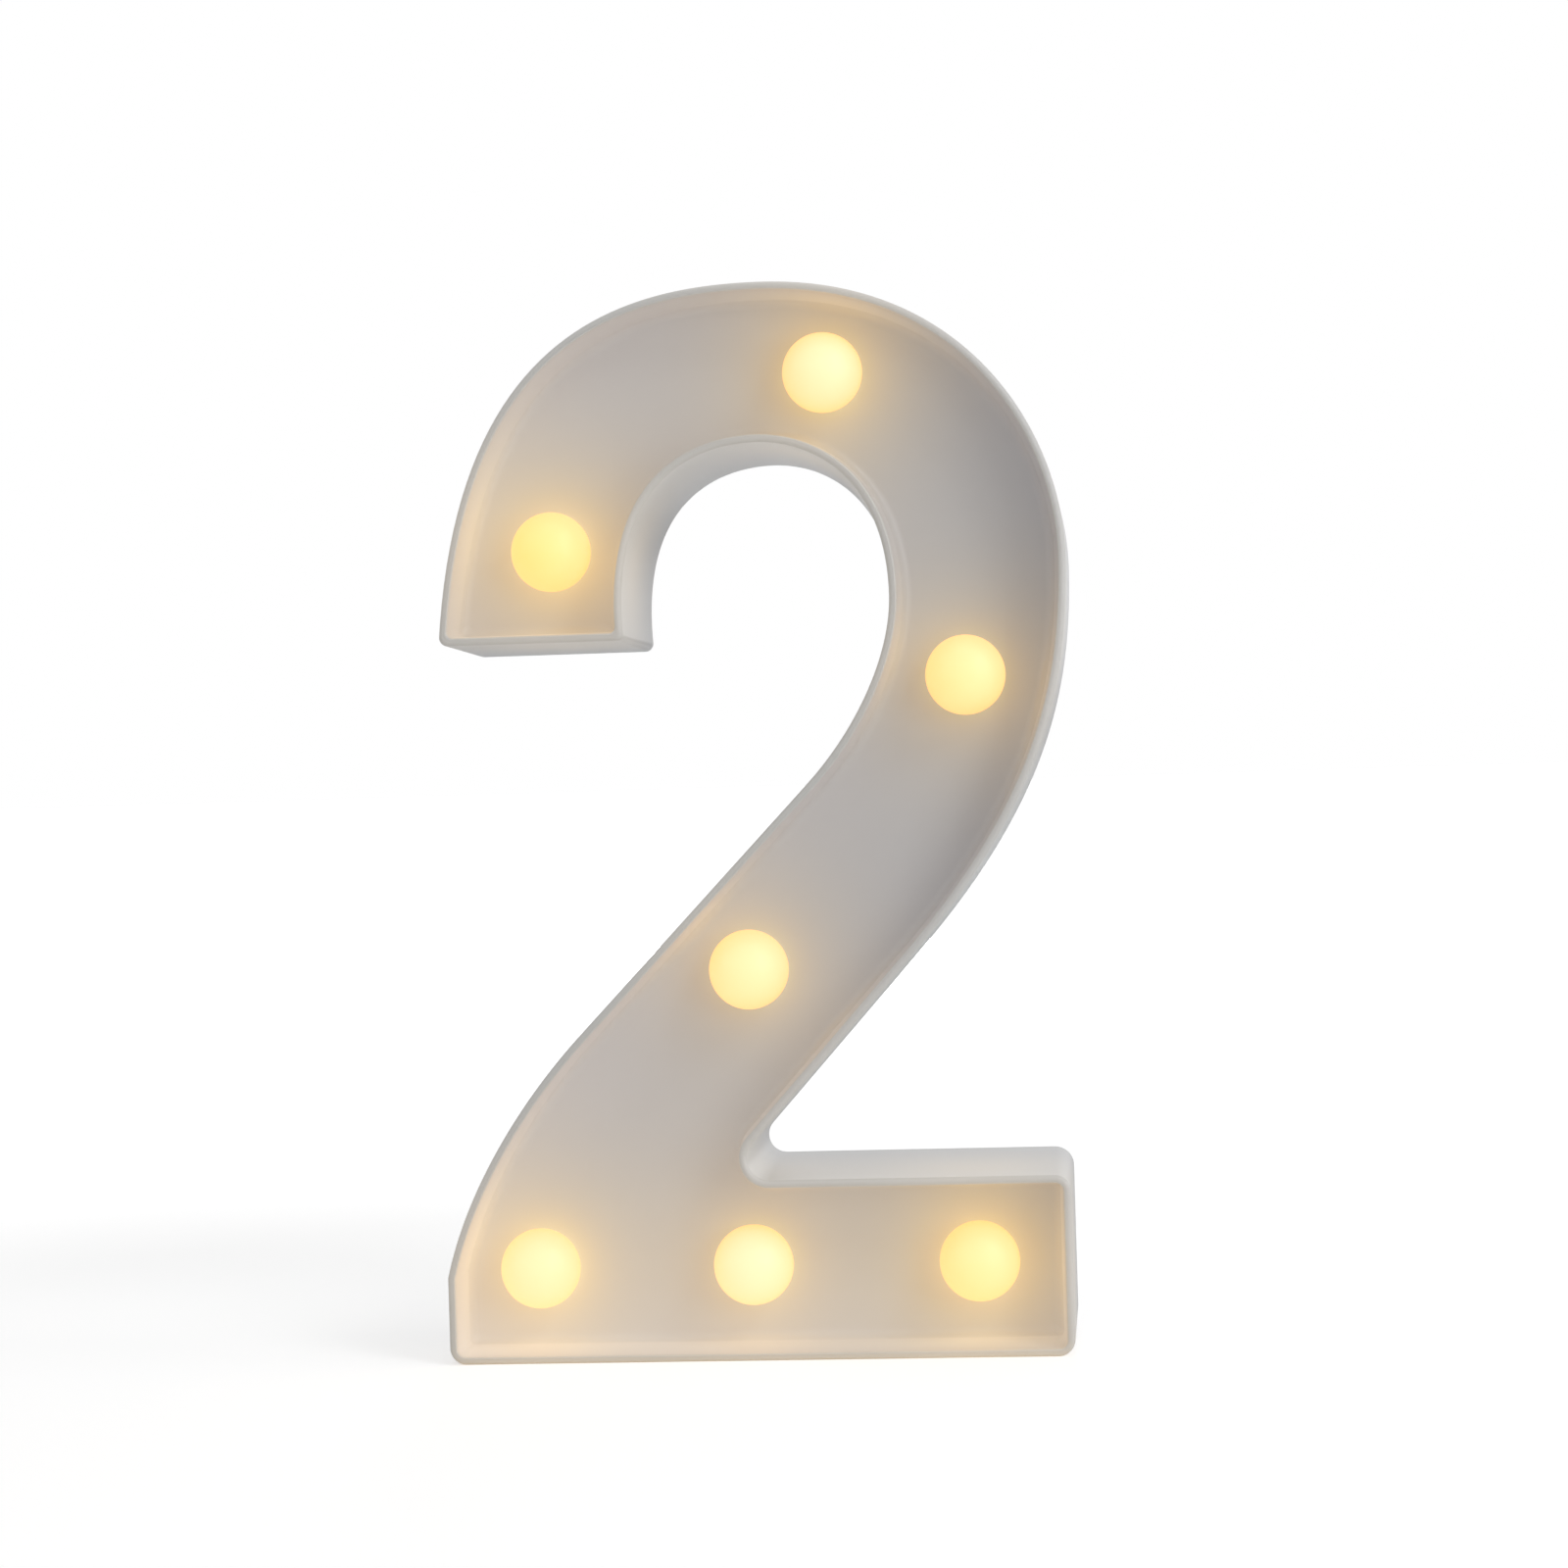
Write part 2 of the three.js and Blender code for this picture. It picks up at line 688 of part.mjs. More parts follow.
function makeCell() {
  const radius = cellDiameter / 2;
  const shoulder = cellLength - cellButtonHeight;
  const chamfer = cellPlay;
  return turned([
    [0, 0],
    [radius - chamfer, 0],
    [radius, chamfer],
    [radius, shoulder - chamfer],
    [radius - chamfer, shoulder],
    [cellButtonRadius, shoulder],
    [cellButtonRadius, cellLength],
    [0, cellLength],
  ], cellSides);
}

const cell = makeCell();
for (let row = 0; row < cellRows; row += 1) {
  const buttonRight = row % 2 === 1;
  const mesh = place(`battery_${row + 1}`, cell, finishes.cell, figure);
  const flatEnd = contactGap + springReach + seatGap;
  mesh.position.set(buttonRight ? bayX[0] + flatEnd : bayX[1] - flatEnd, cellY, rowZ(row));
  mesh.rotation.z = buttonRight ? -Math.PI / 2 : Math.PI / 2;
}

// Contacts

const springPoint = (turn) => {
  const share = turn / springTurns;
  const radius = THREE.MathUtils.lerp(springBase, springTip, share);
  const along = springWire + share * (springReach - 2 * springWire);
  const angle = turn * 2 * Math.PI;
  return { radius, along, angle };
};

// A tapered spring along X, from x = 0 towards direction, as one unbroken tube.
function makeSpring(direction) {
  const steps = springTurns * springStepsPerTurn;
  const points = [];
  for (let i = 0; i <= steps; i += 1) {
    const { radius, along, angle } = springPoint(i / springStepsPerTurn);
    for (let side = 0; side < springSides; side += 1) {
      const around = (side * 2 * Math.PI) / springSides;
      const out = radius + springWire * Math.cos(around);
      const x = direction * (along + springWire * Math.sin(around));
      points.push(new THREE.Vector3(x, out * Math.cos(angle), out * Math.sin(angle)));
    }
  }
  const indices = [];
  for (let i = 0; i < steps; i += 1) {
    for (let side = 0; side < springSides; side += 1) {
      const a = i * springSides + side;
      const b = i * springSides + ((side + 1) % springSides);
      const [c, d] = [a + springSides, b + springSides];
      indices.push(a, c, d, a, d, b);
    }
  }
  const end = steps * springSides;
  for (let side = 1; side < springSides - 1; side += 1) {
    indices.push(0, side, side + 1);
    indices.push(end, end + side + 1, end + side);
  }
  const facing = direction > 0 ? indices : indices.toReversed();
  return solidOf(new THREE.BufferGeometry().setFromPoints(points).setIndex(facing));
}

// The least room between one turn of a spring and the next
function springGap() {
  const steps = (springTurns - 1) * springStepsPerTurn;
  const gaps = Array.from({ length: steps + 1 }, (_, i) => {
    const here = springPoint(i / springStepsPerTurn);
    const next = springPoint(i / springStepsPerTurn + 1);
    return Math.hypot(here.radius - next.radius, here.along - next.along) - 2 * springWire;
  });
  return Math.min(...gaps);
}
console.log(`least gap between a spring's turns: ${springGap().toFixed(2)} mm`);

const plateY = [bayFloorY + contactMargin, hinge.y - doorThickness / 2 - contactMargin];
const rowHalf = cellDiameter / 2 - contactMargin;
const leftPlateX = [bayX[0] + seatGap, bayX[0] + contactGap];
const rightPlateX = [bayX[1] - contactGap, bayX[1] - seatGap];
const contactPlate = (x, row) => block(x, plateY, grown([rowZ(row), rowZ(row)], rowHalf));
const contactTab = (row) => block(tabX, tabY, tabZ(row));
const topRow = cellRows - 1;

// The left strip joins the rows: the lower cell's button to the upper cell's flat end.
const strip = block(leftPlateX, plateY, [rowZ(0) - rowHalf, rowZ(topRow) + rowHalf]);
const leftSpring = makeSpring(1).translate([leftPlateX[1] - springWire, cellY, rowZ(topRow)]);
place("bridge_contact", strip.add(leftSpring), finishes.steel, figure);

const rightSpring = makeSpring(-1).translate([rightPlateX[0] + springWire, cellY, rowZ(0)]);
const negative = contactPlate(rightPlateX, 0).add(contactTab(0)).add(rightSpring);
place("negative_contact", negative, finishes.steel, figure);
const positive = contactPlate(rightPlateX, topRow).add(contactTab(topRow));
place("positive_contact", positive, finishes.steel, figure);

// Switch

const knobBackY = backY - knobSink;
const knobFrontY = switchFaceY - knobFoot;
const switchBackY = switchFaceY - switchDepth;
const terminalX = [switchMiddle - knobLength, switchMiddle + knobLength];
const terminalEndY = switchBackY - terminalReach;

function makeSwitch() {
  let body = block([switchX0, switchX1], [switchBackY, switchFaceY], switchZ);
  const ears = [switchX0 - earLength, switchX1 + earLength];
  body = body.add(block(ears, [switchFaceY - earThickness, switchFaceY], switchZ));
  body = body.subtract(block(slotX, [knobFrontY - seatGap, switchFaceY + overrun], slotZ));
  for (const x of earScrewX) {
    const span = [switchFaceY - earThickness - overrun, switchFaceY + overrun];
    const hole = rod(earScrewShank + seatGap, span, x, barMiddle, { sides: smallSides });
    body = body.subtract(hole);
  }
  const half = terminalSide / 2;
  for (const x of terminalX) {
    const pin = [terminalEndY, switchBackY + terminalSide];
    body = body.add(block([x - half, x + half], pin, [barMiddle - half, barMiddle + half]));
  }
  return body;
}

place("switch_body", makeSwitch(), finishes.black, figure);

const knob = block(
  [-knobLength / 2, knobLength / 2],
  [knobFrontY, knobBackY],
  [-knobHeight / 2, knobHeight / 2],
);
place("switch_knob", knob, finishes.black, figure).position.set(switchX, 0, barMiddle);

// Screws: y = 0 is the outside of the head, and the shank runs towards -Y

function makeScrew({ shank, length, head, headHeight, cross, crossDeep }) {
  const screw = turned(
    [
      [0, -length],
      [shank, -length + shank],
      [shank, -headHeight],
      [head, 0],
      [0, 0],
    ],
    smallSides,
  );
  const across = [-crossWidth / 2, crossWidth / 2];
  const along = [-cross / 2, cross / 2];
  const deep = [-crossDeep, overrun];
  return screw.subtract(block(along, deep, across)).subtract(block(across, deep, along));
}

const coverScrew = makeScrew({
  shank: screwShank,
  length: screwLength,
  head: screwHead,
  headHeight: screwHeadHeight,
  cross: crossLength,
  crossDeep: crossDepth,
});
screwPlaces.forEach(([x, z], i) => {
  place(`cover_screw_${i + 1}`, coverScrew, finishes.steel, figure).position.set(x, screwHeadY, z);
});

// The two ear screws go in from inside, so each is turned round to point at the cover.
const earScrew = makeScrew({
  shank: earScrewShank,
  length: earScrewHeadHeight + earThickness + seatGap * 2 + earScrewBite,
  head: earScrewHead,
  headHeight: earScrewHeadHeight,
  cross: earScrewHead,
  crossDeep: earScrewHeadHeight / 2,
});
earScrewX.forEach((x, i) => {
  const mesh = place(`switch_screw_${i + 1}`, earScrew, finishes.steel, figure);
  mesh.position.set(x, switchFaceY - earThickness - seatGap - earScrewHeadHeight, barMiddle);
  mesh.rotation.x = Math.PI;
});

// Resistor: above the switch, lying along X

const resistorPlace = new THREE.Vector3(
  switchMiddle,
  terminalEndY,
  barHeight - wall - resistorRadius - contactMargin - wireRadius,
);

function makeResistor() {
  const end = resistorLength / 2;
  const tip = end + resistorLeadReach;
  const waist = resistorRadius - resistorWaist;
  return turned(
    [
      [0, -tip],
      [resistorLead, -tip],
      [resistorLead, -end],
      [resistorRadius, -end + resistorWaist],
      [resistorRadius, -end / 2],
      [waist, -end / 2 + resistorWaist],
      [waist, end / 2 - resistorWaist],
      [resistorRadius, end / 2],
      [resistorRadius, end - resistorWaist],
      [resistorLead, end],
      [resistorLead, tip],
      [0, tip],
    ],
    smallSides,
  );
}

const resistor = place("resistor", makeResistor(), finishes.resistor, figure);
resistor.position.copy(resistorPlace);
resistor.rotation.z = -Math.PI / 2;

// Wires

const wireSection = new THREE.Shape().absarc(0, 0, wireRadius, 0, 2 * Math.PI);

function tube(curve, steps) {
  const geometry = new THREE.ExtrudeGeometry(wireSection, {
    steps,
    curveSegments: wireSides / 2,
    extrudePath: curve,
  });
  return solidOf(geometry);
}

// A slack wire that leaves one place along fromWay and reaches the other along toWay.
function slackCurve(from, fromWay, to, toWay) {
  const leaving = from.clone().addScaledVector(fromWay, wireSlack);
  const arriving = to.clone().addScaledVector(toWay, -wireSlack);
  return new THREE.CubicBezierCurve3(from, leaving, arriving, to);
}

const right = new THREE.Vector3(1, 0, 0);
const left = new THREE.Vector3(-1, 0, 0);
const forward = new THREE.Vector3(0, -1, 0);
const back = new THREE.Vector3(0, 1, 0);
const tabEnd = (row) => new THREE.Vector3(tabX[1] + wireMeets, cellY, rowZ(row));
const terminalEnd = (x) => new THREE.Vector3(x, terminalEndY - wireMeets, barMiddle);
const resistorReach = resistorLength / 2 + resistorLeadReach + wireMeets;
const resistorEnd = (way) => resistorPlace.clone().addScaledVector(way, resistorReach);

const supplyCurve = slackCurve(tabEnd(topRow), right, terminalEnd(terminalX[0]), back);
place("supply_wire_red", tube(supplyCurve, wireSteps), finishes.red, figure);
const bridgeCurve = slackCurve(terminalEnd(terminalX[1]), forward, resistorEnd(left), right);
place("switch_wire_red", tube(bridgeCurve, wireSteps), finishes.red, figure);

// The string passes behind every diode: along the bar, up the stroke and round the bowl.
// Between bulbs it also goes by the turns, which keep it inside the shell.
const turnShares = {
  flank: [-0.24, 0.205],
  stroke: [0.13, 0.465],
  bowlSide: [0.375, 0.72],
  bowlTop: [0.28, 0.84],
  counterTop: [-0.08, 0.915],
  hook: [-0.235, 0.845],
};
const turns = Object.fromEntries(
  Object.entries(turnShares).map(([name, shares]) => [name, fromShares(shares)]),
);
const [topBulb, hookBulb, bowlBulb, strokeBulb, ...barBulbs] = bulbPlaces;
const stringStops = [
  ...barBulbs.toReversed(),
  turns.flank,
  strokeBulb,
  turns.stroke,
  bowlBulb,
  turns.bowlSide,
  turns.bowlTop,
  topBulb,
  turns.counterTop,
  turns.hook,
  hookBulb,
];

function stringCurve(from, y) {
  const places = stringStops.map(([x, z]) => new THREE.Vector3(x, y, z));
  const start = places[0].clone().addScaledVector(right, stringStart);
  const dive = slackCurve(from, right, start, left).getPoints(diveSteps);
  return new THREE.CatmullRomCurve3([...dive, ...places], false, "centripetal");
}

const redY = panelBackY + leadEndY + wireMeets + wireRadius;
const blackY = redY + 2 * wireRadius + wireMeets;
const redString = stringCurve(resistorEnd(right), redY);
const blackString = stringCurve(tabEnd(0), blackY);
place("string_wire_red", tube(redString, stringSteps), finishes.red, figure);
place("string_wire_black", tube(blackString, stringSteps), finishes.black, figure);

export default light;
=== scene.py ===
# %% [markdown]
# # A lit figure 2, dressed over its CAD frame
# The light is a moulded plastic shell with a recessed face, seven frosted bulbs, and a back
# cover with a cell door, a switch and a hanging hole. The CAD model fixes where every part lies.
# This script loads it, and then makes the parts that show again as fine, smooth surfaces in the
# same places. Lengths are in millimetres until a mesh is made, because that is how the real
# light would be drawn, and Blender gets metres.

import math

import bmesh
import bpy
import numpy as np
from mathutils import Matrix, Vector, geometry


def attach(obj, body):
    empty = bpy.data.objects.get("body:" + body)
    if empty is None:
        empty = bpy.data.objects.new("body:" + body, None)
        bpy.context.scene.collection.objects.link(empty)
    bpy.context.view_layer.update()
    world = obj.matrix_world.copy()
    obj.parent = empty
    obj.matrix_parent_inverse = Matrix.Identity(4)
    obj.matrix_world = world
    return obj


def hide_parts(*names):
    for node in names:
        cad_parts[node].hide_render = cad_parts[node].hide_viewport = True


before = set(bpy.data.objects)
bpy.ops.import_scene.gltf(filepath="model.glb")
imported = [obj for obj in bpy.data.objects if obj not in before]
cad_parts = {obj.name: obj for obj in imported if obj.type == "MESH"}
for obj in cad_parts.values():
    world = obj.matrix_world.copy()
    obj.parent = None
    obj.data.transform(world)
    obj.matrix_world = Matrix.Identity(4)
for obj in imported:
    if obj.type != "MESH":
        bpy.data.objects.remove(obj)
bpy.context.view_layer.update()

# %% [markdown]
# ## The camera
# A camera is a place, a direction and a lens. These come from a fit of the CAD outline to the
# photograph's: the light is seen from 67 cm, a little from the right and level with its middle.
# The lens is worked out from a focal length in pixels, because the picture is 1600 pixels wide
# and Blender's sensor is 36 mm wide.

# %% The camera
PICTURE, SENSOR, FOCAL_PIXELS = 1600, 36, 3287.5
EYE = (0.06328, -0.67313, 0.11905)
TO_LEFT, UP, ROLL = 0.0862, -0.003, 0.0301  # turns of the camera, in radians


def added(name, data):
    """A new object with this data, in the scene."""
    made = bpy.data.objects.new(name, data)
    bpy.context.scene.collection.objects.link(made)
    return made


camera_data = bpy.data.cameras.new("camera")
camera_data.sensor_fit = "HORIZONTAL"
camera_data.sensor_width = SENSOR
camera_data.lens = FOCAL_PIXELS * SENSOR / PICTURE
camera = added("camera", camera_data)

aim = (
    Matrix.Rotation(TO_LEFT, 3, "Z") @ Matrix.Rotation(UP, 3, "X") @ Matrix.Rotation(ROLL, 3, "Y")
)
to_right, ahead, upward = aim.col
facing = Matrix((to_right, upward, -ahead)).transposed().to_4x4()
camera.matrix_world = Matrix.Translation(EYE) @ facing
bpy.context.scene.camera = camera
print("lens:", round(camera_data.lens, 2), "mm")

# %% [markdown]
# ## Closed lines that can grow
# Nearly every part of a moulded light is a flat shape with a rounded edge: the face, the cover,
# the door, even a screw's head. Each starts as one closed line. What makes the line useful is
# that it can be moved outwards by any amount, because a rounded edge is the same line drawn
# many times, each a little larger and a little deeper. A function that returns the grown line
# does that, and it keeps the number of points, so that one line can be joined to the next.

# %% Closed lines
def unit(vectors):
    """Each vector divided by its length."""
    return vectors / np.linalg.norm(vectors, axis=-1, keepdims=True)


def right_of(runs):
    """The unit vector on the right of each run (x, z): (z, -x) divided by its length."""
    return unit(np.stack([runs[..., 1], -runs[..., 0]], axis=-1))


def arc_at(before, at, after, radius, steps):
    """An arc that touches both runs at a corner. It starts radius x tan(turn / 2) before the
    corner, and its centre lies one radius to the side that the line turns to."""
    arriving, leaving = unit(at - before), unit(after - at)
    turn = math.atan2(
        arriving[0] * leaving[1] - arriving[1] * leaving[0], float(arriving @ leaving)
    )
    start = at - arriving * radius * math.tan(abs(turn) / 2)
    centre = start + np.array([-arriving[1], arriving[0]]) * math.copysign(radius, turn)
    angles = turn * np.linspace(0, 1, steps + 1)[:, None]
    spoke = start - centre
    return centre + np.cos(angles) * spoke + np.sin(angles) * np.array([-spoke[1], spoke[0]])


def closed_line(points, radii=0, steps=8, least=0.02):
    """Returns grown(by): the closed line through the points, anticlockwise, moved outwards by
    that much. Each point moves along the sum of its two sides' normals, divided by one plus
    their cosine, so that both sides move equally. Round corners grow or shrink with it."""
    points = np.asarray(points, float)
    radii = np.broadcast_to(np.asarray(radii, float), len(points))
    arriving = right_of(points - np.roll(points, 1, axis=0))
    leaving = right_of(np.roll(points, -1, axis=0) - points)
    cosine = (arriving * leaving).sum(axis=1, keepdims=True)
    mitre = (arriving + leaving) / (1 + cosine)
    hollow = arriving[:, 0] * leaving[:, 1] - arriving[:, 1] * leaving[:, 0] < 0

    def grown(by=0.0):
        moved = points + by * mitre
        runs, done = [], 0
        for i in np.flatnonzero(radii):
            radius = max(radii[i] - by if hollow[i] else radii[i] + by, least)
            around = moved[i - 1], moved[i], moved[(i + 1) % len(moved)]
            runs += [moved[done:i], arc_at(*around, radius, steps)]
            done = i + 1
        return np.concatenate(runs + [moved[done:]])

    return grown


def circle(x, z, sides=64):
    """Returns grown(by): a circle of radius by round (x, z)."""
    angles = np.linspace(0, 2 * np.pi, sides, endpoint=False)
    spokes = np.column_stack([np.cos(angles), np.sin(angles)])
    return lambda by=0.0: np.array([x, z]) + by * spokes


def rectangle(x0, x1, z0, z1, radius=0.0, steps=6):
    return closed_line([(x0, z0), (x1, z0), (x1, z1), (x0, z1)], radius, steps)


# %% [markdown]
# ## The figure's outline
# The 2 is drawn as a type designer would draw it: a few named places, the way the line runs
# through each, and how far each bend's handles reach. Between two places runs a cubic Bezier
# curve. The places are the same as the CAD model's, and only the steps are finer. The sides of
# the moulding lean outwards towards the back, so that it leaves its mould.

# %% The outline
BAR = 127.8  # length of the foot
HEIGHT = 219.2
BAR_HEIGHT = 36.6
FRONT, BACK = -22.0, 22.0
FLARE = 0.78  # how much further out each side stands at the back

places = {
    "stroke_heel": (-0.0583, 0.1668),
    "stroke_shoulder": (0.2553, 0.3693),
    "bowl_side": (0.521, 0.7375),
    "bowl_top": (0.0444, 1),
    "hook_tip": (-0.4845, 0.6721),
    "hook_heel": (-0.1851, 0.6721),
    "counter_top": (0.0347, 0.8517),
    "counter_side": (0.2407, 0.7059),
    "stroke_top": (0.1009, 0.5333),
    "flank_top": (-0.2758, 0.3048),
    "flank_foot": (-0.5, 0.0809),
}
places = {name: np.array(share) * (BAR, HEIGHT) for name, share in places.items()}


def way(degrees):
    turn = math.radians(degrees)
    return np.array([math.cos(turn), math.sin(turn)])


stroke_up = unit(places["stroke_shoulder"] - places["stroke_heel"])
stroke_down = unit(places["flank_top"] - places["stroke_top"])

# Each bend: where it starts, the way it leaves and its handle, then the same where it ends.
# A handle is a share of the height.
bends = [
    ("stroke_shoulder", stroke_up, 0.1877, "bowl_side", way(90), 0.1214),
    ("bowl_side", way(90), 0.1101, "bowl_top", way(180), 0.1957),
    ("bowl_top", way(180), 0.1157, "hook_tip", way(-94.6), 0.3011),
    ("hook_heel", way(94.6), 0.1627, "counter_top", way(0), 0.0411),
    ("counter_top", way(0), 0.0547, "counter_side", way(-90), 0.1068),
    ("counter_side", way(-90), 0.0527, "stroke_top", stroke_down, 0.0721),
    ("flank_top", stroke_down, 0.1004, "flank_foot", way(-102.8), 0.0695),
]


def bend(start, leaving, out, end, arriving, back, steps=44):
    """A cubic Bezier curve: (1-t)^3 a + 3(1-t)^2 t b + 3(1-t) t^2 c + t^3 d, where b lies one
    handle after the start and c one handle before the end. The first point is left out."""
    a, d = places[start], places[end]
    b, c = a + leaving * out * HEIGHT, d - arriving * back * HEIGHT
    t = np.linspace(0, 1, steps + 1)[1:, None]
    return (1 - t) ** 3 * a + 3 * (1 - t) ** 2 * t * b + 3 * (1 - t) * t**2 * c + t**3 * d


rise = BAR_HEIGHT - places["stroke_shoulder"][1]
notch = places["stroke_shoulder"] + stroke_up * rise / stroke_up[1]

corners = [(-BAR / 2, 0), (BAR / 2, 0), (BAR / 2, BAR_HEIGHT), notch]
shoulder, bowl, crown, counter, throat, spine, flank = [bend(*b) for b in bends]
path = np.vstack([
    corners, places["stroke_shoulder"], shoulder, bowl, crown,
    places["hook_heel"], counter, throat, spine, places["flank_top"], flank,
])
radii = np.zeros(len(path))
radii[:4] = 3.4, 3.4, 3.2, 4.6
hook_tip = 5 + len(shoulder) + len(bowl) + len(crown) - 1
radii[hook_tip : hook_tip + 2] = 1.8, 1.0
figure_line = closed_line(path, radii, steps=14, least=1.3)


def outset(y):
    """How far the outer wall stands outside the drawn line at depth y: it grows evenly."""
    return FLARE * (np.asarray(y) - FRONT) / (BACK - FRONT)


widest = figure_line(FLARE)[:, 0]
SHIFT = -(widest.min() + widest.max()) / 2  # the middle of the finished light is at x = 0
print("points on the outline:", len(widest), " shift:", round(SHIFT, 3), "mm")

# %% [markdown]
# ## From lines to a mesh
# A band is a profile carried along a closed line: a grid whose rows are the line grown by
# so much at such a depth. Straight profiles make walls, and quarter circles make the rounded
# edges that catch the light on a real moulding. A fill is the flat face between one line and
# the holes in it, and a Delaunay triangulation makes it. Bands and fills share their edges, so
# merging the doubles closes the piece.

# %% Bands and fills
WITHOUT_HOLES, TOUCHING = 2, 1e-6  # for the triangulation: its kind of result, and its tolerance


def profile(rows, radii=None, steps=6, margin=0.1):
    """An open line of (grow, depth) places whose inner corners are round. One more place lies
    just before and after each arc, so that the shading of the flat faces beside it stays flat."""
    rows = np.asarray(rows, float)
    radii = [0] * len(rows) if radii is None else [0, *radii, 0]
    line = [rows[:1]]
    for i in range(1, len(rows) - 1):
        if not radii[i]:
            line.append(rows[i : i + 1])
            continue
        arc = arc_at(rows[i - 1], rows[i], rows[i + 1], radii[i], steps)
        before = arc[0] - unit(rows[i] - rows[i - 1]) * margin
        after = arc[-1] + unit(rows[i + 1] - rows[i]) * margin
        line += [before[None], arc, after[None]]
    return np.vstack(line + [rows[-1:]])


def rings(line, rows):
    """The line grown by rows[:, 0] at depths rows[:, 1], as a grid of points (row, along, xyz)."""
    return np.stack([np.insert(line(grow), 1, depth, axis=1) for grow, depth in rows])


def band(grid):
    """The points and four-sided faces of a grid that closes on itself along its rows."""
    rows, count = grid.shape[:2]
    index = np.arange(rows * count).reshape(rows, count)
    beside = np.roll(index, -1, axis=1)
    faces = np.stack([index[:-1], index[1:], beside[1:], beside[:-1]], axis=-1)
    return grid.reshape(-1, 3), faces.reshape(-1, 4)


def fill(*lines):
    """The flat face between an outer line and the lines inside it, all at one depth."""
    points = np.concatenate(lines)
    ends = np.cumsum([len(line) for line in lines])
    loops = [list(range(end - len(line), end)) for line, end in zip(lines, ends.tolist())]
    flat = [Vector(p) for p in points[:, [0, 2]]]
    found, _, faces, *_ = geometry.delaunay_2d_cdt(flat, [], loops, WITHOUT_HOLES, TOUCHING)
    return np.insert(np.array([tuple(p) for p in found]), 1, points[0, 1], axis=1), faces


# %% Meshes and pieces
CREASE = 32  # degrees: edges that turn by more stay sharp
SAME_POINT, NO_LENGTH = 1e-6, 1e-7  # metres: such close points are merged, such short edges go


def joined(name, parts):
    """A mesh of bands and fills, made metres. Each part is (points, faces), and may end with the
    index of its material."""
    points = np.vstack([part[0] for part in parts])
    starts = np.cumsum([0] + [len(part[0]) for part in parts])
    faces = [
        [int(v) + start for v in face] for part, start in zip(parts, starts) for face in part[1]
    ]
    mesh = bpy.data.meshes.new(name)
    mesh.from_pydata((points + (SHIFT, 0, 0)) / 1000, [], faces)
    return mesh


def merged(mesh):
    """Merges the mesh's doubled points and turns its faces outwards. Returns its open edges."""
    work = bmesh.new()
    work.from_mesh(mesh)
    bmesh.ops.remove_doubles(work, verts=work.verts, dist=SAME_POINT)
    bmesh.ops.dissolve_degenerate(work, edges=work.edges, dist=NO_LENGTH)
    bmesh.ops.recalc_face_normals(work, faces=work.faces)
    open_edges = sum(not edge.is_manifold for edge in work.edges)
    work.to_mesh(mesh)
    work.free()
    return open_edges


def piece(name, parts, material, body, stands_for, lit=None):
    """One closed mesh from bands and fills. The material may be a list, and lit is a number
    for each point, which the material can read by that name."""
    mesh = joined(name, parts)
    shades = [part[2] if len(part) > 2 else 0 for part in parts]
    shades = np.repeat(shades, [len(part[1]) for part in parts])
    mesh.polygons.foreach_set("material_index", shades.astype(np.int32))
    if lit is not None:
        values = mesh.attributes.new("lit", "FLOAT", "POINT").data
        values.foreach_set("value", lit.astype(np.float32))
    for one in material if isinstance(material, list) else [material]:
        mesh.materials.append(one)
    open_edges = merged(mesh)
    placed(name, mesh, body, stands_for, open_edges)


def placed(name, mesh, body, stands_for, open_edges=0):
    """Shades a mesh smooth except at its creases, and lets it ride and stand for CAD nodes."""
    mesh.shade_smooth()
    mesh.set_sharp_from_angle(angle=math.radians(CREASE))
    made = added(name, mesh)
    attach(made, body)
    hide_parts(*stands_for)
    print(f"{name}: {len(mesh.polygons)} faces, {open_edges} open edges")


# %% [markdown]
# ## Colours and the plain finishes
# A colour picked from a picture is stored by the eye's scale, and light is added up on a
# linear one, so each colour is turned round first. One function then makes every plain finish.
# It starts from one colour and breaks it up as real stock is: a slow cloud moves the
# colour and the gloss a little, as uneven cooling in the mould does, and a fine grain
# is a bump of a few hundredths of a millimetre. The gloss of each plastic and plated finish
# stays on one side of 0.28, because the step that cleans a render of its grain treats sharper
# surfaces in another way, and a line shows where a finish crosses over.

# %% Colours
def colour(red, green, blue):
    """An sRGB colour from 0 to 255, made linear."""
    share = np.array([red, green, blue]) / 255
    low, high = share / 12.92, ((share + 0.055) / 1.055) ** 2.4
    return (*np.where(share <= 0.04045, low, high).tolist(), 1.0)


# %% Nodes
def new_node(tree, kind, **settings):
    """A new shader node. Each setting is one of its own, such as its operation."""
    node = tree.nodes.new("ShaderNode" + kind)
    for name, value in settings.items():
        setattr(node, name, value)
    return node


def link(start, end):
    """Joins two sockets of the same material or world."""
    start.id_data.links.new(start, end)


def give(value, socket):
    """A socket is linked to the other socket, and a plain number or colour is set on it."""
    if isinstance(value, bpy.types.NodeSocket):
        link(value, socket)
    else:
        socket.default_value = value


def own_place(tree):
    """A point's place on its own piece in metres, and the same place's X, Y and Z."""
    place = new_node(tree, "TexCoord").outputs["Object"]
    apart = new_node(tree, "SeparateXYZ")
    link(place, apart.inputs["Vector"])
    return place, apart.outputs


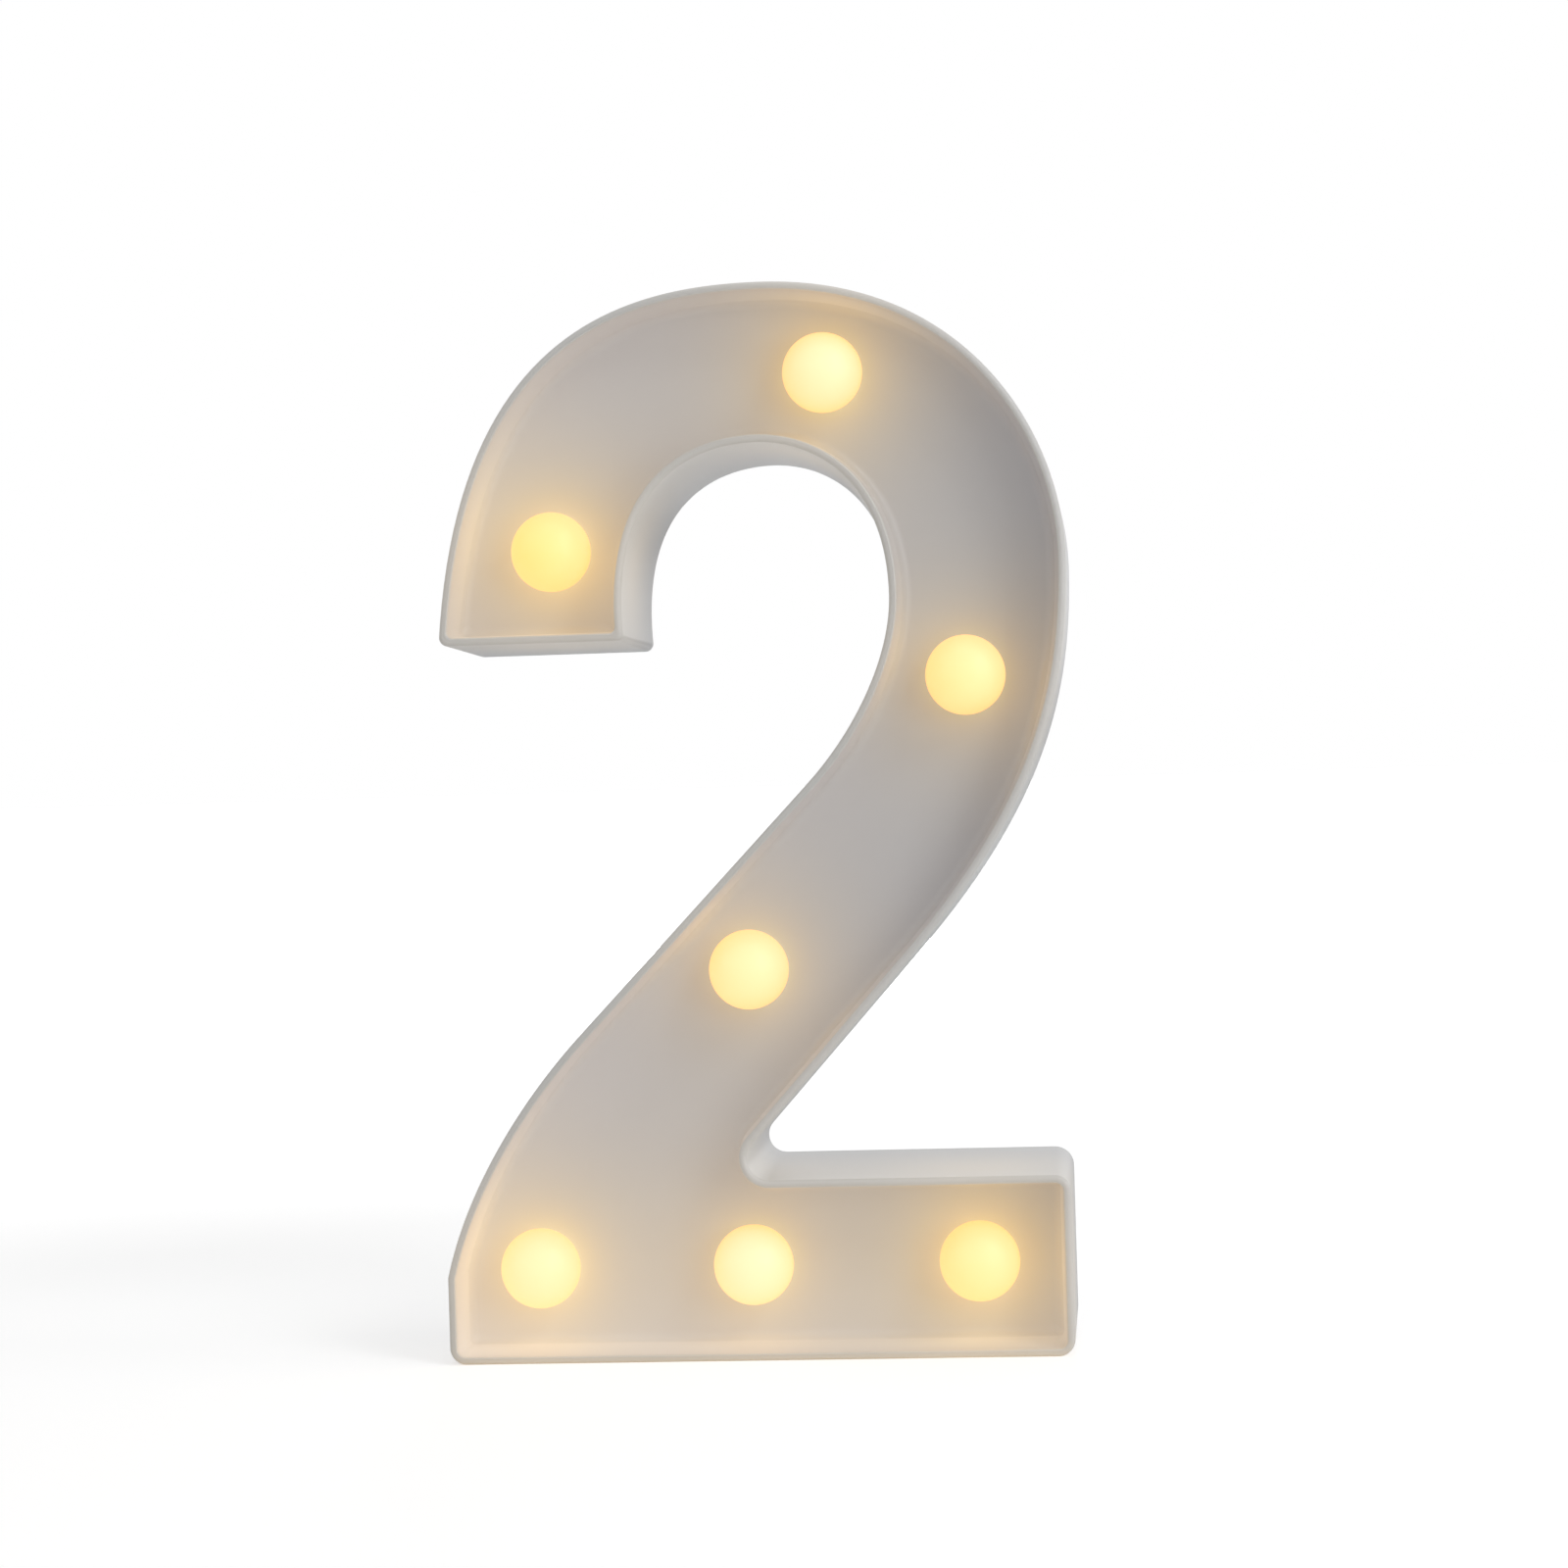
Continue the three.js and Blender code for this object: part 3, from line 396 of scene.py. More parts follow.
def noise(tree, scale, detail=2.0, stretch=(1, 1, 1)):
    """A noise on the piece's own coordinates, scale features to the metre. Its height output."""
    where = new_node(tree, "TexCoord")
    pulled = new_node(tree, "Mapping")
    pulled.inputs["Scale"].default_value = stretch
    cloud = new_node(tree, "TexNoise")
    cloud.inputs["Scale"].default_value = scale
    cloud.inputs["Detail"].default_value = detail
    link(where.outputs["Object"], pulled.inputs["Vector"])
    link(pulled.outputs["Vector"], cloud.inputs["Vector"])
    return cloud.outputs["Fac"]


def spread(value, low, high, start=0.0, end=1.0):
    """Maps a value from start..end to low..high in a straight line, and holds it outside them."""
    node = new_node(value.id_data, "MapRange")
    sockets = "From Min", "From Max", "To Min", "To Max"
    for socket, number in zip(sockets, (start, end, low, high)):
        node.inputs[socket].default_value = number
    link(value, node.inputs["Value"])
    return node.outputs["Result"]


def mixed(share, first, second):
    """The first colour where share is 0, and the second where it is 1."""
    node = new_node(share.id_data, "Mix", data_type="RGBA")
    colours = [socket for socket in node.inputs if socket.type == "RGBA"]
    give(first, colours[0])
    give(second, colours[1])
    link(share, node.inputs["Factor"])
    return [socket for socket in node.outputs if socket.type == "RGBA"][0]


def sums(operation, *values):
    """One Math node. Each value is a number or a socket, and at least one is a socket."""
    tree = next(value.id_data for value in values if isinstance(value, bpy.types.NodeSocket))
    node = new_node(tree, "Math", operation=operation)
    for value, socket in zip(values, node.inputs):
        give(value, socket)
    return node.outputs["Value"]


# %% A plain finish
GLOSS_RANGE = 0.16  # how far the roughness goes up and down from its middle, as a share of it


def shader_of(material):
    return material.node_tree.nodes["Principled BSDF"]


def finish(name, tint, roughness, cloud=0.03, cloud_scale=60, grain=(900, 0.02),
           stretch=(1, 1, 1), **fixed):
    """A material: one colour, a slow cloud in colour and gloss, and a fine grain as a bump.
    grain is (features to the metre, height in millimetres)."""
    material = bpy.data.materials.new(name)
    material.use_nodes = True
    tree, shader = material.node_tree, shader_of(material)
    slow = noise(tree, cloud_scale, 3, stretch)
    dark, pale = [(*(channel * share for channel in tint[:3]), 1.0)
                  for share in (1 - 2 * cloud, 1 + 2 * cloud)]
    link(mixed(slow, dark, pale), shader.inputs["Base Color"])
    gloss = spread(slow, roughness * (1 - GLOSS_RANGE), roughness * (1 + GLOSS_RANGE))
    link(gloss, shader.inputs["Roughness"])
    bump = new_node(tree, "Bump")
    bump.inputs["Distance"].default_value = grain[1] / 1000
    link(noise(tree, grain[0], 2, stretch), bump.inputs["Height"])
    link(bump.outputs["Normal"], shader.inputs["Normal"])
    for socket, value in fixed.items():
        shader.inputs[socket.replace("_", " ")].default_value = value
    return material


# %% [markdown]
# ## The shell's plastic
# The shell is one piece of off-white polystyrene, smooth from a polished mould. It is a little
# translucent, so light that starts behind it comes out of its whole surface, and the bulbs light
# the tray round them. A ray tracer can follow that light, but slowly and with a lot of grain.
# Here it is painted light: a weak glow of the material, painted by place. Each of the seven
# bulbs adds a warm share that fades with the distance, and the shares are summed, because a
# nearest bulb would leave a crease halfway between two. An even, cooler share of painted light
# lies over the rest, a little stronger at the left and low down, where the face is painted
# brighter. The attribute lit says how much of it a point gives off: all in the tray, and only a
# little outside. Close to a bulb the tray's colour is also painted warmer, with less blue:
# painted warm light of the bulbs.

# %% Bulb places
BULB = 8.2  # the radius of a globe
PANEL_FRONT, PANEL_BACK = -9.0, -7.0
bulb_places = np.array([
    (0.1408, 0.918), (-0.3075, 0.7592), (0.356, 0.631), (-0.0063, 0.3609),
]) * (BAR, HEIGHT)
bar_bulbs = np.array([(-0.3592, 0.5), (-0.0125, 0.5), (0.3513, 0.5)]) * (BAR, BAR_HEIGHT)
bulb_places = np.vstack([bulb_places, bar_bulbs])
print("bulbs, in mm:", bulb_places.round(1).tolist())

# %% Light that fades with distance
bulb_strengths = [1.1, 1.36, 0.75, 0.62, 1.1, 0.78, 1.45]


def fading(length, start, reach):
    """The exponential of (start - length) / reach, never above 1. The length is a socket in
    metres, and the rest is in millimetres. One reach past the start it is about a third."""
    gone = sums("MULTIPLY_ADD", length, -1000 / reach, start / reach)
    return sums("MINIMUM", sums("POWER", math.e, gone), 1.0)


def bulb_shine(place, reach=11):
    """The light that comes to a place from all seven bulbs: the sum of their strengths times
    their fadings. A length is the distance to a bulb's foot, and the start is its radius."""
    total = 0.0
    for (x, z), strength in zip(bulb_places, bulb_strengths):
        gap = new_node(place.id_data, "VectorMath", operation="DISTANCE")
        gap.inputs[1].default_value = ((x + SHIFT) / 1000, PANEL_FRONT / 1000, z / 1000)
        link(place, gap.inputs[0])
        share = fading(gap.outputs["Value"], BULB, reach)
        total = sums("MULTIPLY_ADD", share, strength, total)
    return total


def glow(share, tint):
    """A colour of light times a share."""
    node = new_node(share.id_data, "VectorMath", operation="SCALE")
    give(tint, node.inputs[0])
    link(share, node.inputs["Scale"])
    return node.outputs["Vector"]


def together(total, *lights):
    """Colours of light added up."""
    for light in lights:
        node = new_node(total.id_data, "VectorMath", operation="ADD")
        link(total, node.inputs[0])
        give(light, node.inputs[1])
        total = node.outputs["Vector"]
    return total


# %% The shell's plastic and its glow
shell_plastic = finish("shell_plastic", colour(195, 195, 195), 0.36, cloud=0.012, cloud_scale=22,
                       grain=(60, 0.02))
tree, shader = shell_plastic.node_tree, shader_of(shell_plastic)
place, axes = own_place(tree)
near = bulb_shine(place)
lit = new_node(tree, "Attribute", attribute_name="lit").outputs["Fac"]
in_tray = sums("MINIMUM", lit, 1.0)
on_wall = sums("SUBTRACT", lit, in_tray)
outside = sums("SUBTRACT", 1.0, in_tray)

# Painted light over the tray: the face is brighter and warmer at the left, cooler at the right, brighter
# low down and warm round each bulb.
across = spread(axes["X"], 0, 1, -0.066, 0.066)  # from the light's left side to its right
left_painted_light, right_painted_light = (0.154, 0.131, 0.124, 1), (0.040, 0.042, 0.054, 1)
tray_light = together(
    mixed(across, left_painted_light, right_painted_light),
    glow(fading(axes["Z"], 0, 25), (0.105, 0.090, 0.078)),
    glow(near, (0.185, 0.095, 0.014)),
)
wall_light = glow(sums("MULTIPLY", on_wall, near), (0.22, 0.26, 0.24))
# Painted light on the lowest front edge of the outside, lifting the shade where the shell meets the
# floor.
painted_lift_low_edge = sums("MULTIPLY", fading(axes["Z"], 0, 1.5), fading(axes["Y"], FRONT, 3))
# Painted light on the outside: warm round the bulbs, a share near the front, the low edge, and an even
# cool share.
outer_light = together(
    glow(near, (0.24, 0.17, 0.08)),
    glow(fading(axes["Y"], FRONT, 8), (0.060, 0.050, 0.030)),
    glow(painted_lift_low_edge, (0.13, 0.07, 0.0)),
    (0.030, 0.036, 0.046),
)
all_light = together(glow(in_tray, tray_light), wall_light, glow(outside, outer_light))
link(all_light, shader.inputs["Emission Color"])
shader.inputs["Emission Strength"].default_value = 1.0

plain = shader.inputs["Base Color"].links[0].from_socket
# Painted warm light of the bulbs: near them the tray's colour is painted warmer, with less blue.
painted_bulb_warmth = sums("MULTIPLY", sums("MINIMUM", near, 1.0), in_tray)
link(mixed(painted_bulb_warmth, plain, (0.54, 0.54, 0.43, 1)), shader.inputs["Base Color"])
print("nodes in the shell's plastic:", len(tree.nodes))

# %% [markdown]
# ## The front shell
# One profile makes nearly the whole shell. It starts on the face, turns up the tray's wall,
# goes over the narrow rim, down the leaning outside, round the back edge, over the seat that the
# cover lies in, and down the inside to the back of the face. Carried along the outline it is
# a closed skin but for the face's front and back, which are filled round the bulbs' holes.
# Nothing goes below the surface that the light stands on, so each ring is cut off level.

# %% The shell's skin
WALL, RIM, SEAT = 1.6, 1.5, 1.0
SEAT_Y = 19.3  # the bosses and the seat's ledge, just under the cover
TRAY_LEAN = 0.8  # how much narrower the tray is at its foot


def shell_rings(rows, level=True):
    """The outline's rings. Where level, a ring that lies so far inside the outer wall also stays
    so far above the ground."""
    grid = rings(figure_line, rows)
    if level:
        inside = np.maximum(outset(rows[:, 1]) - rows[:, 0], 0)
        grid[..., 2] = np.maximum(grid[..., 2], inside[:, None])
    return grid


wall_steps = [
    (-RIM - TRAY_LEAN * share, FRONT + share * (PANEL_FRONT - FRONT)) for share in (0.6, 0.35, 0.15)
]
tray_rows = profile(
    [(-4.9, PANEL_FRONT), (-RIM - TRAY_LEAN, PANEL_FRONT), *wall_steps, (-RIM, FRONT), (-1.1, FRONT)],
    [2.0, 0, 0, 0, 0.35], steps=8,
)
inner_wall = outset(PANEL_BACK) - WALL
back_rows = profile(
    [
        (-1.1, FRONT), (0, FRONT), (outset(-14), -14), (outset(-8), -8),
        (FLARE, BACK), (FLARE - SEAT, BACK), (outset(SEAT_Y) - SEAT, SEAT_Y),
        (outset(SEAT_Y) - WALL, SEAT_Y), (inner_wall, PANEL_BACK), (inner_wall - 0.4, PANEL_BACK),
    ],
    [0.95, 0, 0, 0.35, 0.1, 0.1, 0.2, 0.2], steps=8,
)
tray = shell_rings(tray_rows, level=False)
skin = shell_rings(back_rows)
print("rows in the tray and the skin:", len(tray), len(skin))

# %% The shell's holes and bosses
HOLE, BOSS, BOSS_BORE, BORE_END = 6.3, 3.3, 1.5, 8.7
hole_rows = profile([(7.1, PANEL_FRONT), (HOLE, PANEL_FRONT), (HOLE, PANEL_BACK)], [0.35])
bulb_holes = [rings(circle(x, z), hole_rows) for x, z in bulb_places]

screw_places = np.array([
    (-0.4421, 0.035), (0.4421, 0.035), (0.2113, 0.4151),
    (0.4382, 0.7665), (-0.2034, 0.9352), (-0.2582, 0.6975),
]) * (BAR, HEIGHT)
boss_rows = profile(
    [(3.5, PANEL_BACK), (BOSS, PANEL_BACK), (BOSS, SEAT_Y),
     (BOSS_BORE, SEAT_Y), (BOSS_BORE, BORE_END), (0, BORE_END)],
    [0.1, 0.3, 0.2, 0.2], margin=0.05,
)
bosses = [rings(circle(x, z, 40), boss_rows) for x, z in screw_places]

# %% The front shell
face = fill(tray[0], *[hole[0] for hole in bulb_holes])
face_back = fill(skin[-1], *[hole[-1] for hole in bulb_holes], *[boss[0] for boss in bosses])

# The shares of light by depth: 1 on the tray's face, more on its walls and none at the rim
glow_depths, glow_shares = [FRONT, -21.5, -20, -16, -11, -9], [0, 0.4, 1.1, 1.4, 1.3, 1]
tray_lit = np.interp(tray_rows[:, 1], glow_depths, glow_shares)
marks = [np.repeat(tray_lit, tray.shape[1]), np.zeros(skin[..., 0].size)]
marks += [np.ones(hole[..., 0].size) for hole in bulb_holes]
marks += [np.zeros(boss[..., 0].size) for boss in bosses]
marks += [np.ones(len(face[0])), np.zeros(len(face_back[0]))]

piece(
    "shell_fine",
    [band(tray), band(skin), *map(band, bulb_holes), *map(band, bosses), face, face_back],
    shell_plastic, "light", ["front_shell"], lit=np.concatenate(marks),
)

# %% [markdown]
# ## The bulbs
# Each bulb is a hollow globe of frosted plastic, flat where it meets the face, with a
# neck that snaps through the hole. A turned shape is a band whose line is a circle grown
# from nothing, so the same functions make it. The light in it comes from a diode behind, and the
# frosting spreads it so well that the globe looks almost flat: a little whiter in front, and
# deeper yellow near the face. That is painted by depth, and the globe really shines, so
# it lights the tray round it. No two diodes are quite alike, so each globe has its own whiteness.

# %% Frosted plastic, lit
frosted = finish("frosted_bulb", (0.45, 0.45, 0.45, 1), 0.45, cloud=0.01, grain=(2600, 0.004))
tree, shader = frosted.node_tree, shader_of(frosted)
axes = own_place(tree)[1]
forward = spread(axes["Y"], 0, 1, -0.0214, -0.0132)  # the front half, from pole to side
rearward = spread(axes["Y"], 0, 1, -0.0125, -0.0098)  # the rear half, nearly down to the face
white = new_node(tree, "Attribute", attribute_name="lit").outputs["Fac"]
pole = mixed(white, (1.05, 0.63, 0.05, 1), (1.1, 0.70, 0.29, 1))
front_half = mixed(forward, pole, (1.03, 0.50, 0.08, 1))
link(mixed(rearward, front_half, (0.75, 0.6, 0.26, 1)), shader.inputs["Emission Color"])
shader.inputs["Emission Strength"].default_value = 1.0

# %% The bulbs
STANDOFF, SHOULDER = 4.2, 0.3  # the globe's middle and its end, in front of the face
NECK, NECK_END, BULB_BORE, BULB_WALL = 6.0, 2.8, 5.2, 0.8


def ball(radius, end_y, steps=26):
    """Places (radius, depth) on a ball from its front pole to the depth end_y: sine and cosine
    of equal angles, times the ball's radius."""
    angles = np.linspace(0, math.acos((-STANDOFF - end_y) / radius), steps)
    return np.column_stack([radius * np.sin(angles), -STANDOFF - radius * np.cos(angles)])


inside = BULB - BULB_WALL
neck_rows = profile(
    [(6.6, -SHOULDER), (NECK, -SHOULDER), (NECK, 2.3), (6.6, 2.3), (NECK, NECK_END),
     (BULB_BORE, NECK_END)],
    [0.1, 0.1, 0.1, 0.1],
)
inner_ball = ball(inside, -STANDOFF + math.sqrt(inside**2 - BULB_BORE**2))[::-1]
bulb_rows = np.vstack([ball(BULB, -SHOULDER), neck_rows, inner_ball]) + (0, PANEL_FRONT)
whiteness = [0.9, 0, 0.35, 0.65, 0.8, 1, 0.35]
for number, ((x, z), share) in enumerate(zip(bulb_places, whiteness), 1):
    globe = band(rings(circle(x, z, 80), bulb_rows))
    piece(f"bulb_fine_{number}", [globe], frosted, "light", [f"bulb_{number}"],
          lit=np.full(len(globe[0]), share))

# %% [markdown]
# ## The back cover
# The cover is a flat plate that drops into the shell's seat. Its plastic is the shell's,
# but the mould is etched there, so it is matt. It carries the well for two cells, the
# slot of the switch, a hole to hang the light by, and six countersunk screw holes. Each is
# one more closed line in the plate with a profile through it. The well is two boxes, one inside
# the other, and a shallow scoop beside it lets a fingertip under the door.

# %% The plate and the well
cover_plastic = finish(
    "cover_plastic", colour(198, 197, 195), 0.46, cloud=0.015, cloud_scale=30, grain=(2600, 0.03),
)
COVER_IN = 19.6
EDGE = 1.3  # the plate's edge lies this far inside the shell's outer wall
BAY_X, BAY_Z, BAY_FLOOR, BAY_WALL = 28.45, (3.2, 33.4), 4.3, 1.3
BAR_MIDDLE = BAR_HEIGHT / 2
SCOOP, SCOOP_FLOOR = 5.5, 20.8

edge_in = outset(COVER_IN) - EDGE
plate_rows = profile(
    [(FLARE - EDGE - 0.6, BACK), (FLARE - EDGE, BACK), (edge_in, COVER_IN), (edge_in - 0.12, COVER_IN)],
    [0.3, 0.05], margin=0.05,
)
plate = shell_rings(plate_rows)

# The well's mouth, with the half round scoop in its right side, and the plain well below it
low, high = BAR_MIDDLE - SCOOP, BAR_MIDDLE + SCOOP
turns = np.linspace(-np.pi / 2, np.pi / 2, 33)[1:-1]
scoop_arc = np.column_stack([BAY_X + SCOOP * np.cos(turns), BAR_MIDDLE + SCOOP * np.sin(turns)])
right_side = [(-BAY_X, BAY_Z[0]), (BAY_X, BAY_Z[0]), (BAY_X, low)]
left_side = [(BAY_X, high), (BAY_X, BAY_Z[1]), (-BAY_X, BAY_Z[1])]
mouth_points = np.vstack([right_side, scoop_arc, left_side])
mouth_radii = np.zeros(len(mouth_points))
mouth_radii[[0, 1, -2, -1]] = 0.6
mouth_rows = profile([(0.5, BACK), (0, BACK), (0, SCOOP_FLOOR)], [0.25])
mouth = rings(closed_line(mouth_points, mouth_radii), mouth_rows)
well_line = closed_line(np.vstack([right_side, left_side]), [0.6, 0.6, 0, 0, 0.6, 0.6])
well = rings(well_line, profile([(0, SCOOP_FLOOR), (0, BAY_FLOOR), (-1.6, BAY_FLOOR)], [1.0]))
ledge = np.vstack([[(BAY_X, low)], scoop_arc, [(BAY_X, high)]])

box_line = rectangle(-BAY_X - BAY_WALL, BAY_X + BAY_WALL, BAY_Z[0] - BAY_WALL, BAY_Z[1] + BAY_WALL, 1.6)
box_end = BAY_FLOOR - BAY_WALL
box_rows = profile([(0.15, COVER_IN), (0, COVER_IN), (0, box_end), (-1.5, box_end)],
                   [0.05, 0.5], margin=0.05)
box = rings(box_line, box_rows)
print("the well is", round(2 * BAY_X, 1), "by", round(BAY_Z[1] - BAY_Z[0], 1), "mm")

# %% The cover's holes
KEY, KEY_SLOT, KEY_RISE = 4.5, 2.6, 8.0  # a round hole with a narrower slot above it
SLOT_X, SLOT_Z = (44.325, 53.325), (16.2, 20.4)
key_x, key_z = 0.0155 * BAR, 0.924 * HEIGHT
gap = math.asin(KEY_SLOT / KEY)
below = np.linspace(np.pi / 2 + gap, 2.5 * np.pi - gap, 60)
above = np.linspace(0, np.pi, 30)
key_line = closed_line(np.vstack([
    np.column_stack([key_x + KEY * np.cos(below), key_z + KEY * np.sin(below)]),
    np.column_stack([key_x + KEY_SLOT * np.cos(above), key_z + KEY_RISE + KEY_SLOT * np.sin(above)]),
]))
through_rows = profile([(0.5, BACK), (0, BACK), (0, COVER_IN), (0.2, COVER_IN)], [0.3, 0.1], margin=0.05)
keyhole = rings(key_line, through_rows)
switch_slot = rings(rectangle(*SLOT_X, *SLOT_Z, 0.5), through_rows)
sink_rows = profile([(3.8, BACK), (3.35, BACK), (1.5, 19.9), (1.5, COVER_IN), (1.75, COVER_IN)],
                    [0.15, 0, 0.05], margin=0.04)
screw_holes = [rings(circle(x, z, 48), sink_rows) for x, z in screw_places]

# %% The back cover
bands = [plate, mouth, well, box, keyhole, switch_slot, *screw_holes]
outer_holes = [mouth[0], keyhole[0], switch_slot[0], *[hole[0] for hole in screw_holes]]
inner_holes = [box[0], keyhole[-1], switch_slot[-1], *[hole[-1] for hole in screw_holes]]
flats = [fill(np.insert(ledge, 1, SCOOP_FLOOR, axis=1)), fill(well[-1]), fill(box[-1])]
flats += [fill(plate[0], *outer_holes), fill(plate[-1], *inner_holes)]
piece("cover_fine", [band(grid) for grid in bands] + flats, cover_plastic,
      "light", ["back_cover"])

# %% [markdown]
# ## The battery door
# The door is a lid with a full round left end, which rolls on two pins, and a springy tongue at
# its right end between two slits. A sideways section, grown and carried along Z, makes the lid.
# The finger grooves and the slits cut across that direction, so they are cut by
# a boolean, which is the plainest tool for a cut that crosses a finished shape.

# %% Places and turns of the door
HINGE_X, HINGE_Y = -26.95, 20.8
HALF = 1.2
DOOR_END = BAY_X - 0.3
DOOR_Z = (3.5, 33.1)


def capped(line, rows):
    """The band of a line's rings, with the first and the last ring filled."""
    grid = rings(line, rows)
    return [band(grid), fill(grid[0]), fill(grid[-1])]


def turned(parts, order):
    """The same parts with their coordinates in another order."""
    return [(part[0][:, order], *part[1:]) for part in parts]


def along_z(parts):
    """Parts drawn in (x, y) with their depth along Z."""
    return turned(parts, [0, 2, 1])


def along_x(parts):
    """Parts drawn in (y, z) with their depth along X."""
    return turned(parts, [1, 0, 2])


# %% The lid
section = closed_line(
    [(HINGE_X - HALF, HINGE_Y - HALF), (DOOR_END, HINGE_Y - HALF),
     (DOOR_END, HINGE_Y + HALF), (HINGE_X - HALF, HINGE_Y + HALF)],
    [HALF - 0.001, 0.3, 0.3, HALF - 0.001], steps=10,
)
end_rows = profile([(-0.5, DOOR_Z[0]), (0, DOOR_Z[0]), (0, DOOR_Z[1]), (-0.5, DOOR_Z[1])],
                   [0.25, 0.25], steps=4, margin=0.05)
lid_parts = capped(section, end_rows)
pins = [
    capped(circle(HINGE_X, HINGE_Y, 24), [(0.6, z - 0.6), (0.6, z + 0.6)])
    for z in (DOOR_Z[0] - 0.6, DOOR_Z[1] + 0.6)
]
lid_parts = along_z(lid_parts + [part for pin in pins for part in pin])

# %% The cuts
GROOVES, GROOVE_STEP = 4, 2.2
TONGUE, SLIT, TONGUE_LONG = 5.5, 0.8, 7  # half the tongue's width, a slit's width, its length


def cutter(x0, x1, z0, z1, y0, y1, radius):
    """A box with round corners, a little wider at its outer end, which leaves an eased edge."""
    rows = [(0, y0), (0, y1 - 0.12), (0.12, y1), (0.4, y1 + 0.28)]
    return capped(rectangle(x0, x1, z0, z1, radius), rows)


cuts = []
tongue_x = DOOR_END - TONGUE_LONG
for side in (-1, 1):
    inner, outer = sorted((BAR_MIDDLE + side * TONGUE, BAR_MIDDLE + side * (TONGUE + SLIT)))
    cuts += cutter(tongue_x, DOOR_END + 1, inner, outer, HINGE_Y - 3, HINGE_Y + 3, 0.35)
for i in range(GROOVES):
    x = tongue_x - (i + 1) * GROOVE_STEP
    cuts += cutter(x - 0.4, x + 0.4, BAR_MIDDLE - 4.5, BAR_MIDDLE + 4.5, BACK - 0.5, BACK, 0.38)

# %% The battery door
def solid(name, parts):
    """An object from parts, closed and with no material, for the boolean."""
    mesh = joined(name, parts)
    merged(mesh)
    return added(name, mesh)


def cut_out(name, parts, cuts):
    """The mesh of parts with the cuts taken out of it, by an exact boolean, applied."""
    whole, knife = solid(name, parts), solid(name + "_knife", cuts)
    cut = whole.modifiers.new("cut", "BOOLEAN")
    cut.operation, cut.solver, cut.object, cut.use_self = "DIFFERENCE", "EXACT", knife, True
    bpy.context.view_layer.update()
    seen = whole.evaluated_get(bpy.context.evaluated_depsgraph_get())
    result = bpy.data.meshes.new_from_object(seen)
    for one in (whole, knife):
        bpy.data.objects.remove(one)
    result.name = name
    return result


door_mesh = cut_out("door_fine", lid_parts, cuts)
door_mesh.materials.clear()
door_mesh.materials.append(cover_plastic)
placed("door_fine", door_mesh, "door", ["battery_door"])

# %% [markdown]
# ## The screws
# Zinc-plated screws with a countersunk head and a cross recess. The shank's thread is a
# surface of two parameters, angle and depth, whose radius rises and falls once in every pitch and
# shifts with the angle, which is what makes it a helix. The head's flat face is a fill between
# its rim and a cross, and the cross tapers down to its floor, as the driver's tip does.

# %% The screw's finish, cross and thread
zinc = finish("zinc_plate", colour(176, 178, 180), 0.34, cloud=0.1, cloud_scale=700,
              grain=(2500, 0.006), Metallic=1.0)


def cross(x, z, length, width):
    """A plus shape as a closed line, anticlockwise, with slightly round corners."""
    a, b = length / 2, width / 2
    arm = [(a, -b), (a, b), (b, b)]
    points = np.vstack([np.array(arm) @ np.array([[c, s], [-s, c]])
                        for c, s in ((1, 0), (0, 1), (-1, 0), (0, -1))])
    return closed_line(points + (x, z), np.tile([0.12, 0.12, 0.1], 4), steps=3)


SCREW_FACE, SCREW_LONG = 21.7, 11.0
HEAD, HEAD_HIGH, CORE, CREST, PITCH = 2.7, 1.6, 0.92, 0.28, 1.0


def thread(x, z, start, end, sides=48, rows=90):
    """The radius is the core's plus the crest's height times a sharpened cosine of
    (depth / pitch - angle), and the crest fades out at both ends of the thread."""
    y = np.linspace(start, end, rows)[:, None]
    angle = np.linspace(0, 2 * np.pi, sides, endpoint=False)[None]
    wave = (0.5 + 0.5 * np.cos(2 * np.pi * y / PITCH - angle)) ** 3
    fade = np.clip(np.minimum(start - y, y - end) / PITCH, 0, 1)
    r = CORE + CREST * wave * fade
    return np.stack([x + r * np.cos(angle), np.broadcast_to(y, r.shape), z + r * np.sin(angle)], -1)


# %% The screws
head_rows = [(HEAD - 0.3, 0), (HEAD, 0), (CORE, -HEAD_HIGH), (CORE, -HEAD_HIGH - 0.3)]
head_rows = profile(head_rows, [0.08, 0.3], 4, 0.04) + (0, SCREW_FACE)
tip_rows = np.array([(CORE, -SCREW_LONG + 1), (0, -SCREW_LONG)]) + (0, SCREW_FACE)
socket_rows = np.array([(0.06, 0), (0.0, -0.06), (-0.1, -0.8)]) + (0, SCREW_FACE)
for number, (x, z) in enumerate(screw_places, 1):
    head, tip = [rings(circle(x, z, 48), rows) for rows in (head_rows, tip_rows)]
    shank = thread(x, z, SCREW_FACE - HEAD_HIGH - 0.3, SCREW_FACE - SCREW_LONG + 1.2)
    whole = np.concatenate([head, shank[1:], tip])
    socket = rings(cross(x, z, 3.2, 0.7), socket_rows)
    parts = [band(whole), band(socket), fill(whole[0], socket[0]), fill(socket[-1])]
    piece(f"cover_screw_fine_{number}", parts, zinc, "light", [f"cover_screw_{number}"])

# %% [markdown]
# ## The switch's knob
# A slide switch shows only its knob: black plastic with three ribs for a fingernail. The ribs
# are part of its section, a gentle wave, and the section is carried along Z.

